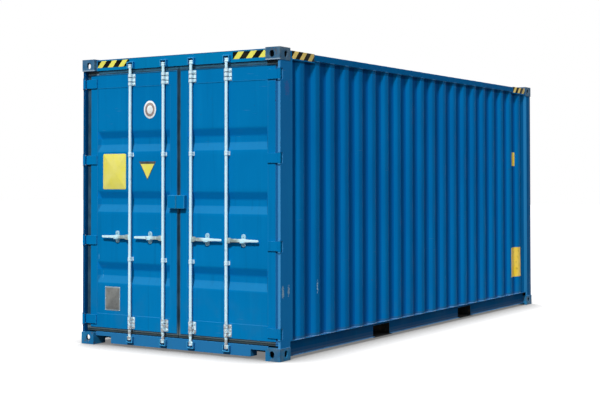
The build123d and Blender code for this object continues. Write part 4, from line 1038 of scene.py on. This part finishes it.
def lock_handle(side_name, side, rod_name, offset):
    """A forged bar: round hub, broad shank, narrow grip, its height and thickness eased along it.
    Each section takes the sine and cosine to the power 0.45, which gives a rounded oblong."""
    length = HANDLE_REACH - HANDLE_PIVOT
    hub = 0.0155
    near, grip = np.linspace(-hub, 0.03, 14), np.linspace(length - 0.02, length, 8)
    along = np.concatenate([near, np.linspace(0.04, length - 0.03, 22), grip])
    hub_half = np.sqrt(np.clip(hub ** 2 - np.clip(along, None, 0) ** 2, 1e-8, None))
    shank_places = [0, 0.03, 0.06, 0.16, 0.24, length]
    shank = np.interp(along, shank_places, [hub, 0.0165, 0.0168, 0.016, 0.0125, 0.0105])
    tip = np.sqrt(np.clip(1 - (np.clip(along - (length - 0.012), 0, 0.012) / 0.0121) ** 2, 0.02, 1))
    half_height = np.where(along < 0, hub_half, shank) * tip
    thick_places = [-hub, -0.008, 0.0, 0.02, 0.06, 0.16, length]
    half_thick = np.interp(along, thick_places, [0.002, 0.0046, 0.0047, 0.0047, 0.0062, 0.006, 0.0052]) * tip
    angle = np.linspace(0, 2 * np.pi, 20, endpoint=False)
    power = 0.45
    up = np.sign(np.sin(angle)) * np.abs(np.sin(angle)) ** power
    out = np.sign(np.cos(angle)) * np.abs(np.cos(angle)) ** power
    x = ROD_DEPTH - HALF_LENGTH + half_thick[:, None] * out[None]
    y = side * (offset + HANDLE_PIVOT + along[:, None] + 0 * out[None])
    z = HANDLE_HEIGHT + half_height[:, None] * up[None]
    body = f"{side_name}_{rod_name}_handle_body"
    shape = closed_run(np.stack([x, y, z], axis=-1))
    bar = wear_piece(f"{side_name}_{rod_name}_lock_handle", shape, body, handle_zinc, 50)
    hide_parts(f"{side_name}_{rod_name}_handle")


def rod_saddle(height, grooves, seat):
    """A collar round the rod: round in front, square to its seat, its outside waisted between the bands."""
    angle = np.linspace(0, 2 * np.pi, 44, endpoint=False)
    outer = ROD_RADIUS + 0.0043
    toward_seat = np.cos(angle)
    to_side = outer / np.maximum(np.abs(np.sin(angle)), 1e-6)
    square = np.minimum(to_side, seat / np.maximum(toward_seat, 1e-6))
    reach = np.where(toward_seat > 0, np.maximum(square, outer * 0.98), outer)
    half = height / 2
    groove_sides = np.repeat(grooves, 4) + np.tile([-0.005, -0.0035, 0.0035, 0.005], len(grooves))
    z = np.concatenate([[-half, -half + 0.0015], groove_sides, [half - 0.0015, half]])
    waist = np.concatenate([[0.94, 1.0], np.tile([1.0, 0.9, 0.9, 1.0], len(grooves)), [1.0, 0.94]])
    ring = np.stack([np.cos(angle), np.sin(angle)], axis=-1)
    drawn = np.where(toward_seat[:, None] > 0.3, 1.0, waist[None])
    outside = reach[:, None, None] * drawn[..., None] * ring[:, None]
    outside = np.concatenate([outside, np.broadcast_to(z[None, :, None], (*outside.shape[:2], 1))], axis=-1)
    bore = (ROD_RADIUS + 0.0004) * ring
    low = np.concatenate([bore, np.full((len(angle), 1), -half)], axis=-1)[:, None]
    high = np.concatenate([bore, np.full((len(angle), 1), half)], axis=-1)[:, None]
    return closed_ring(np.concatenate([low, outside, high], axis=1))


def bolt_head(out, across_flats=0.019, height=0.008):
    """A hexagon head with a chamfered crown on a washer, on the origin."""
    axis = np.asarray(out, float)
    rim = across_flats * 0.72
    washer = turned_shape([(0.0001, 0), (rim, 0), (rim, 0.0018), (0.0001, 0.0018)], axis, 16)
    across = np.roll(np.abs(axis), 1)
    other = np.cross(axis, across)
    angle = np.arange(6) * np.pi / 3
    hexagon = np.cos(angle)[:, None] * across + np.sin(angle)[:, None] * other
    radius = across_flats / math.sqrt(3)
    rise = np.array([0.0018, height - 0.0015, height])
    size = np.array([radius, radius, radius * 0.82])
    head = closed_run(size[:, None, None] * hexagon[None] + rise[:, None, None] * axis)
    return joined([washer, head])


def rod_brackets(side_name, side):
    """Foot plates with bolted corners, banded collars on the bars and small guides on the panel."""
    shapes = []
    out = (-1, 0, 0)
    collar = rod_saddle(0.118, np.array([-0.020, 0.020]), LEAF_FACE - ROD_DEPTH - 0.004)
    guide = rod_saddle(0.040, np.array([0.0]), PANEL_FACE - ROD_DEPTH - 0.004)
    bolt = bolt_head(out, 0.016, 0.0065)
    for offset in ROD_PLACES.values():
        y = side * offset
        rod = np.array([ROD_DEPTH - HALF_LENGTH, y, 0])
        for height in BRACKET_HEIGHTS:
            foot = rounded_outline(0.045, 0.059, 0.006)
            middle = (LEAF_FACE - HALF_LENGTH, y, height)
            shapes.append(pressed_plate(foot, middle, (0, 1, 0), (0, 0, 1), out, 0.005, 0.001))
            shapes.append(repeated(collar, [rod + [0, 0, height]]))
            x = LEAF_FACE - 0.005 - HALF_LENGTH
            corners = [(x, y + a * 0.033, height + b * 0.043) for a in (-1, 1) for b in (-1, 1)]
            shapes.append(repeated(bolt, corners))
        for height in GUIDE_HEIGHTS:
            foot = rounded_outline(0.024, 0.020, 0.003)
            middle = (PANEL_FACE - HALF_LENGTH, y, height)
            shapes.append(pressed_plate(foot, middle, (0, 1, 0), (0, 0, 1), out, 0.005, 0.001))
            shapes.append(repeated(guide, [rod + [0, 0, height]]))
    body = f"{side_name}_door"
    piece = wear_piece(f"{side_name}_rod_collars", joined(shapes), body, collar_zinc, 35)
    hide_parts(f"{side_name}_rod_brackets")


def handle_retainers(side_name, side):
    """A round-ended plate, a shelf under the handle and a cupped stud above and below it."""
    shapes = []
    out = (-1, 0, 0)
    stud = [(0.0001, 0.0012), (0.0060, 0.0012), (0.0070, 0.0062),
            (0.0094, 0.0069), (0.0117, 0.0046), (0.0119, 0.0)]
    face = PANEL_FACE - 0.008 - HALF_LENGTH
    for offset in ROD_PLACES.values():
        y = side * (offset + RETAINER_OFFSET)
        plate = rounded_outline(0.0239, 0.0604, 0.0225, 8)
        seat = (PANEL_FACE - HALF_LENGTH, y, HANDLE_HEIGHT)
        shapes.append(pressed_plate(plate, seat, (0, 1, 0), (0, 0, 1), out, 0.008, 0.0015))
        shelf = rounded_outline(0.0239, 0.0174, 0.006, 5)
        middle = (face - 0.0175, y, HANDLE_HEIGHT - 0.0223)
        shapes.append(pressed_plate(shelf, middle, (0, 1, 0), (1, 0, 0), (0, 0, 1), 0.006, 0.0012))
        spots = [(face, y, HANDLE_HEIGHT + rise) for rise in (-0.045, 0.045)]
        shapes.append(repeated(turned_shape(stud, out, 16), spots))
    body = f"{side_name}_door"
    piece = wear_piece(f"{side_name}_handle_rests", joined(shapes), body, rest_zinc, 35)
    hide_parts(f"{side_name}_handle_retainers")


for side_name, side in SIDES:
    rod_brackets(side_name, side)
    handle_retainers(side_name, side)
    for rod_name, offset in ROD_PLACES.items():
        lock_rod(side_name, side, rod_name, offset)
        lock_handle(side_name, side, rod_name, offset)
edged_copy("cam_keepers", shell_paint, hinge_highlight, 0.0025)


# Frame, castings, rails and underframe

edged_copy("bottom_corner_castings", casting_steel, casting_edge, 0.004, 3)
edged_copy("top_corner_castings", casting_steel, casting_edge, 0.004, 3)
edged_copy("door_header", header_paint, shell_edge, 0.0018)
for node in ("door_sill", "front_top_rail", "front_bottom_rail"):
    edged_copy(node, shell_paint, shell_edge, 0.0018)
for side_name, _ in SIDES:
    edged_copy(f"rear_{side_name}_post", rear_post_paint, post_edge, 0.003)
    edged_copy(f"front_{side_name}_post", front_post_paint, shell_edge, 0.0025)
    edged_copy(f"{side_name}_top_rail", top_rail_paint, shell_edge, 0.0014)
    edged_copy(f"{side_name}_bottom_rail", rail_paint, rail_edge, 0.003)
edged_copy("top_corner_plates", shell_paint, shell_edge, 0.001)
edged_copy("cross_members", wax, wax, 0.001, 1)
edged_copy("forklift_pockets", wax, wax, 0.001, 1)


def floor_deck():
    """Plywood panels in two rows with chamfered joints, and lines of screws as far apart as the
    cross members, over the middle of their flanges."""
    joints = np.linspace(FLOOR_START - HALF_LENGTH, HALF_LENGTH - FLOOR_END, 6)
    half = FLOOR_HALF_WIDTH / 2
    ways = ((1, 0, 0), (0, 1, 0), (0, 0, 1))
    shapes = []
    for start, end in zip(joints, joints[1:]):
        for row in (-1, 1):
            outline = rounded_outline((end - start) / 2 - 0.001, half - 0.001, 0.002, 2)
            middle = ((start + end) / 2, row * half, FLOOR_BOTTOM)
            shapes.append(pressed_plate(outline, middle, *ways, FLOOR_THICKNESS, 0.0025))
    deck = wear_piece("floor_deck", joined(shapes), "shell", plywood, 25)
    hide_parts("floor_boards")
    lines = np.arange(-9, 10) * CROSS_SPACING + CROSS_SHIFT + CROSS_FLANGE / 2
    rows = np.array([-1.1, -0.82, -0.55, -0.28, -0.03, 0.03, 0.28, 0.55, 0.82, 1.1])
    spots = np.stack(np.meshgrid(lines, rows, [FLOOR_TOP - 0.0006], indexing="ij"), axis=-1)
    screw = turned_shape([(0.0001, 0), (0.0062, 0), (0.0055, 0.001), (0.0001, 0.0012)], (0, 0, 1), 8)
    wear_piece("floor_screws", repeated(screw, spots), "shell", zinc, 40)


floor_deck()


# Welds

def weld_bead(line, radius, ripple, pitch):
    """A bead along a line: a six-sided ring whose size ripples as a sine of the way run."""
    line = np.asarray(line, float)
    run = np.concatenate([[0], np.cumsum(np.linalg.norm(np.diff(line, axis=0), axis=1))])
    way = np.gradient(line, axis=0)
    way /= np.linalg.norm(way, axis=1, keepdims=True)
    up = np.where(np.abs(way[:, 2:]) > 0.8, [[1.0, 0, 0]], [[0, 0, 1.0]])
    across = np.cross(way, up)
    across /= np.linalg.norm(across, axis=1, keepdims=True)
    up = np.cross(across, way)
    angle = np.linspace(0, 2 * np.pi, 6, endpoint=False)
    size = radius * (1 + ripple * np.sin(2 * np.pi * run / pitch))
    ring = across[:, None] * np.cos(angle)[None, :, None] + up[:, None] * np.sin(angle)[None, :, None]
    return closed_run(line[:, None] + size[:, None, None] * ring)


def straight_bead(start, end, radius=0.004, spacing=0.004, ripple=0.14, pitch=0.009):
    """A bead along a straight line, its points close enough for the ripple."""
    start, end = np.asarray(start, float), np.asarray(end, float)
    count = max(3, int(np.linalg.norm(end - start) / spacing))
    line = start + (end - start) * np.linspace(0, 1, count)[:, None]
    return weld_bead(line, radius, ripple, pitch)


def wall_welds():
    """Beads along the foot and head of each side wall, following its waves, and up its rear end."""
    beads, foot_beads = [], []
    post = WALL_START - HALF_LENGTH
    x = np.arange(post + 0.002, HALF_LENGTH - WALL_END - 0.002, 0.0055)
    half_width = wall_waves(x)
    for _, side in SIDES:
        for height, shapes in ((FLOOR_TOP + 0.001, foot_beads), (WALL_TOP - 0.001, beads)):
            line = np.stack([x, side * (half_width + 0.0008), np.full_like(x, height)], axis=-1)
            shapes.append(weld_bead(line, 0.0038, 0.12, 0.011))
        beads.append(straight_bead((post, side * 1.175, FLOOR_TOP), (post, side * 1.175, WALL_TOP)))
    wear_piece("wall_weld_beads", joined(beads), "shell", weld_paint, 60)
    wear_piece("wall_foot_weld_beads", joined(foot_beads), "shell", foot_weld_paint, 60)


def frame_welds():
    """Beads where posts, header, sill and plates meet the castings and each other."""
    shapes = []
    plate_top = 2.8715
    seam_end, seam_top = 2.845, 2.8695
    rear_plate = (ROOF_START - HALF_LENGTH, 0.843 - HALF_LENGTH)
    front_plate = (HALF_LENGTH - 0.894, HALF_LENGTH - CASTING_LENGTH)
    for _, side in SIDES:
        y_in, y_out = side * CASTING_INNER, side * (HALF_WIDTH - 0.005)
        for end, recess in ((-1, 0.014), (1, 0.010)):
            x = end * (HALF_LENGTH - recess)
            for z in (CASTING_HEIGHT, POST_TOP):
                shapes.append(straight_bead((x, side * 1.174, z), (x, y_out, z)))
                shapes.append(straight_bead((x, y_out, z), (x - end * 0.16, y_out, z)))
        x = HEADER_RECESS - HALF_LENGTH
        shapes.append(straight_bead((x, y_in, POST_TOP), (x, y_in, ROOF_HEIGHT - 0.008)))
        shapes.append(straight_bead((x, y_in, 0.090), (x, y_in, 0.126)))
        y = side * 0.914
        for low, high in (rear_plate, front_plate):
            shapes.append(straight_bead((low, y, plate_top), (high, y, plate_top), 0.003))
        for inner in (rear_plate[1], front_plate[0]):
            shapes.append(straight_bead((inner, y, plate_top), (inner, side * 1.183, plate_top), 0.003))
        y = side * (ROOF_HALF_WIDTH + 0.002)
        seam = ((-seam_end, y, seam_top), (seam_end, y, seam_top))
        shapes.append(straight_bead(*seam, 0.003, 0.006, 0.1, 0.018))
        for x in (CASTING_LENGTH - HALF_LENGTH, HALF_LENGTH - CASTING_LENGTH):
            for y, low, high in ((side * 1.213, 2.81, 2.866), (side * 1.166, 0.03, 0.115)):
                shapes.append(straight_bead((x, y, low), (x, y, high)))
    wear_piece("frame_weld_beads", joined(shapes), "shell", weld_paint, 60)


def panel_welds(side_name, side):
    """Beads in the corner between the leaf's bars and the pressed sheet, along its head and two sides."""
    x = LEAF_FACE + 0.0018 - HALF_LENGTH
    low, high = PANEL_LOW + 0.004, PANEL_HIGH - 0.0005
    inner, outer = side * (PANEL_INNER + 0.0005), side * (PANEL_OUTER - 0.0005)
    shapes = [straight_bead((x, inner, high), (x, outer, high), 0.0026)]
    for y in (inner, outer):
        shapes.append(straight_bead((x, y, low), (x, y, high - 0.003), 0.0022, 0.006, 0.1, 0.018))
    body = f"{side_name}_door"
    wear_piece(f"{side_name}_panel_weld_beads", joined(shapes), body, panel_weld_highlight_paint, 60)


wall_welds()
frame_welds()
for side_name, side in SIDES:
    panel_welds(side_name, side)


# Stripes, plates and films

def banded_film(name, parts, across, out, bands, first, lean, finish):
    """Thin upright films laid side by side with one count of leaning bands over them all.
    Each part is a low corner, a length and a height. U counts the bands on from first, less the lean."""
    shapes = []
    start = np.asarray(parts[0][0], float)
    across, up = np.asarray(across, float), np.array([0.0, 0.0, 1.0])
    for corner, length, height in parts:
        outline = np.array([[0, 0], [length, 0], [length, height], [0, height]], float)
        shapes.append(pressed_plate(outline, corner, across, up, out, 0.0007, 0.0002))
    mesh = wear_piece(name, joined(shapes), "shell", finish, 30).data
    places = np.empty(len(mesh.vertices) * 3)
    mesh.vertices.foreach_get("co", places)
    places = places.reshape(-1, 3) - start
    along, high = places @ across, places @ up
    total = sum(length for _, length, _ in parts)
    count = (along - lean * (high - 0.5 * parts[-1][2])) / total * bands + first
    corners = np.empty(len(mesh.loops), np.int32)
    mesh.loops.foreach_get("vertex_index", corners)
    pairs = np.stack([count[corners], high[corners]], axis=-1)
    mesh.uv_layers.new(name="bands").data.foreach_set("uv", pairs.astype(np.float32).ravel())


def stripes():
    """Three yellow bars on black at each top corner, on the header, the rails and the front rail.
    On a side rail a small film by the corner and a long one after it carry one count of bands,
    from their left end as seen from outside."""
    x = HEADER_RECESS - HALF_LENGTH
    ways = ((0, -1, 0), (-1, 0, 0))
    header_bars = [("left", 1.048, 0.422, 6.0, 0.68), ("right", -0.655, 0.402, 5.5, 0.56)]
    for name, y, length, bands, first in header_bars:
        part = ((x, y, 2.809), length, 0.068)
        banded_film(f"header_stripes_{name}", [part], *ways, bands, first, 0.85, door_hazard)
    long_foot, small_foot, head = 2.799, 2.8085, 2.873
    front_length, front_height = 0.4, 0.058
    for side_name, side in SIDES:
        y = side * RAIL_FACE
        way = -side
        left_end = min if way > 0 else max
        for end_name, end in (("rear", -1), ("front", 1)):
            near, step, far = (end * (HALF_LENGTH - reach) for reach in (0.204, 0.217, 0.598))
            long = ((left_end(step, far), y, long_foot), abs(far - step), head - long_foot)
            small = ((left_end(near, step), y, small_foot), abs(step - near), head - small_foot)
            parts = sorted([small, long], key=lambda part: way * part[0][0])
            name = f"rail_stripes_{side_name}_{end_name}"
            banded_film(name, parts, (way, 0, 0), (0, side, 0), 5.5, 0.58, 0.9, side_hazard)
        corner = (HALF_LENGTH - FRONT_RAIL_RECESS, side * 0.83 - front_length / 2, small_foot)
        part = (corner, front_length, front_height)
        banded_film(f"front_stripes_{side_name}", [part], (0, 1, 0), (1, 0, 0), 5.5, 0.58, 0.9, side_hazard)


def door_plates():
    """The plates and films of the left leaf: data plate, yellow plate, triangle and disc."""
    seat = PANEL_FACE - HALF_LENGTH
    out = (-1, 0, 0)

    def laid(name, outline, place, thickness, finish, lift=0.0):
        """A thin plate with its middle at a Y and Z place on the left leaf's sheet."""
        edge = min(0.0006, thickness / 2)
        shape = pressed_plate(outline, (seat - lift, *place), (0, 1, 0), (0, 0, 1), out, thickness, edge)
        wear_piece(name, shape, "left_door", finish, 30)

    data = (0.8465, 0.4705)
    laid("data_plate_rim", rounded_outline(0.0985, 0.1205, 0.006), data, 0.0012, data_border)
    laid("data_plate_field", rounded_outline(0.086, 0.108, 0.004), data, 0.0008, data_plate, 0.0012)
    dome = [(0.0001, 0), (0.0042, 0), (0.0038, 0.0014), (0.0022, 0.0024), (0.0001, 0.0028)]
    rivet = turned_shape(dome, out, 12)
    spots = [(seat - 0.0011, data[0] + a * 0.092, data[1] + b * 0.114) for a in (-1, 1) for b in (-1, 0, 1)]
    wear_piece("data_plate_rivets", repeated(rivet, spots), "left_door", zinc, 40)
    laid("yellow_plate", rounded_outline(0.151, 0.1785, 0.012), (0.825, 1.7515), 0.0012, yellow_plate)
    triangle = (0.395, 1.758)
    corners = np.array([[0.108, 0.092], [-0.108, 0.092], [0.0, -0.092]])
    laid("triangle_edge", corners, triangle, 0.0006, dark_line)
    laid("triangle_field", corners * 0.80 + [0, -0.006], triangle, 0.0006, yellow_plate, 0.0006)
    disc = (0.365, 2.364)
    angle = np.linspace(0, 2 * np.pi, 48, endpoint=False)
    oval = np.stack([np.cos(angle), np.sin(angle)], axis=-1) * [0.0775, 0.089]
    laid("disc_field", oval, disc, 0.0006, white_film)
    laid("disc_ring", oval * 0.78, disc, 0.0004, disc_ring, 0.0006)
    laid("disc_middle", oval * 0.48, disc, 0.0003, white_film, 0.0010)


def wall_films():
    """Two yellow films that follow the waves of the right wall near the front end."""
    films = [
        ("wall_film_small", 2.424, 2.551, 1.841, 2.018),
        ("wall_film_large", 2.370, 2.673, 0.396, 0.777),
    ]
    for name, low_x, high_x, low_z, high_z in films:
        x, z = np.linspace(low_x, high_x, 60), np.linspace(low_z, high_z, 24)
        along, up = np.meshgrid(x, z, indexing="ij")
        reach = wall_reach(along, up, -1)
        front = np.stack([along, -(reach + 0.0007), up], axis=-1)
        back = np.stack([along, -(reach + 0.0001), up], axis=-1)
        wear_piece(name, sheet_shell(front, back), "shell", amber_film, 40)


stripes()
door_plates()
wall_films()
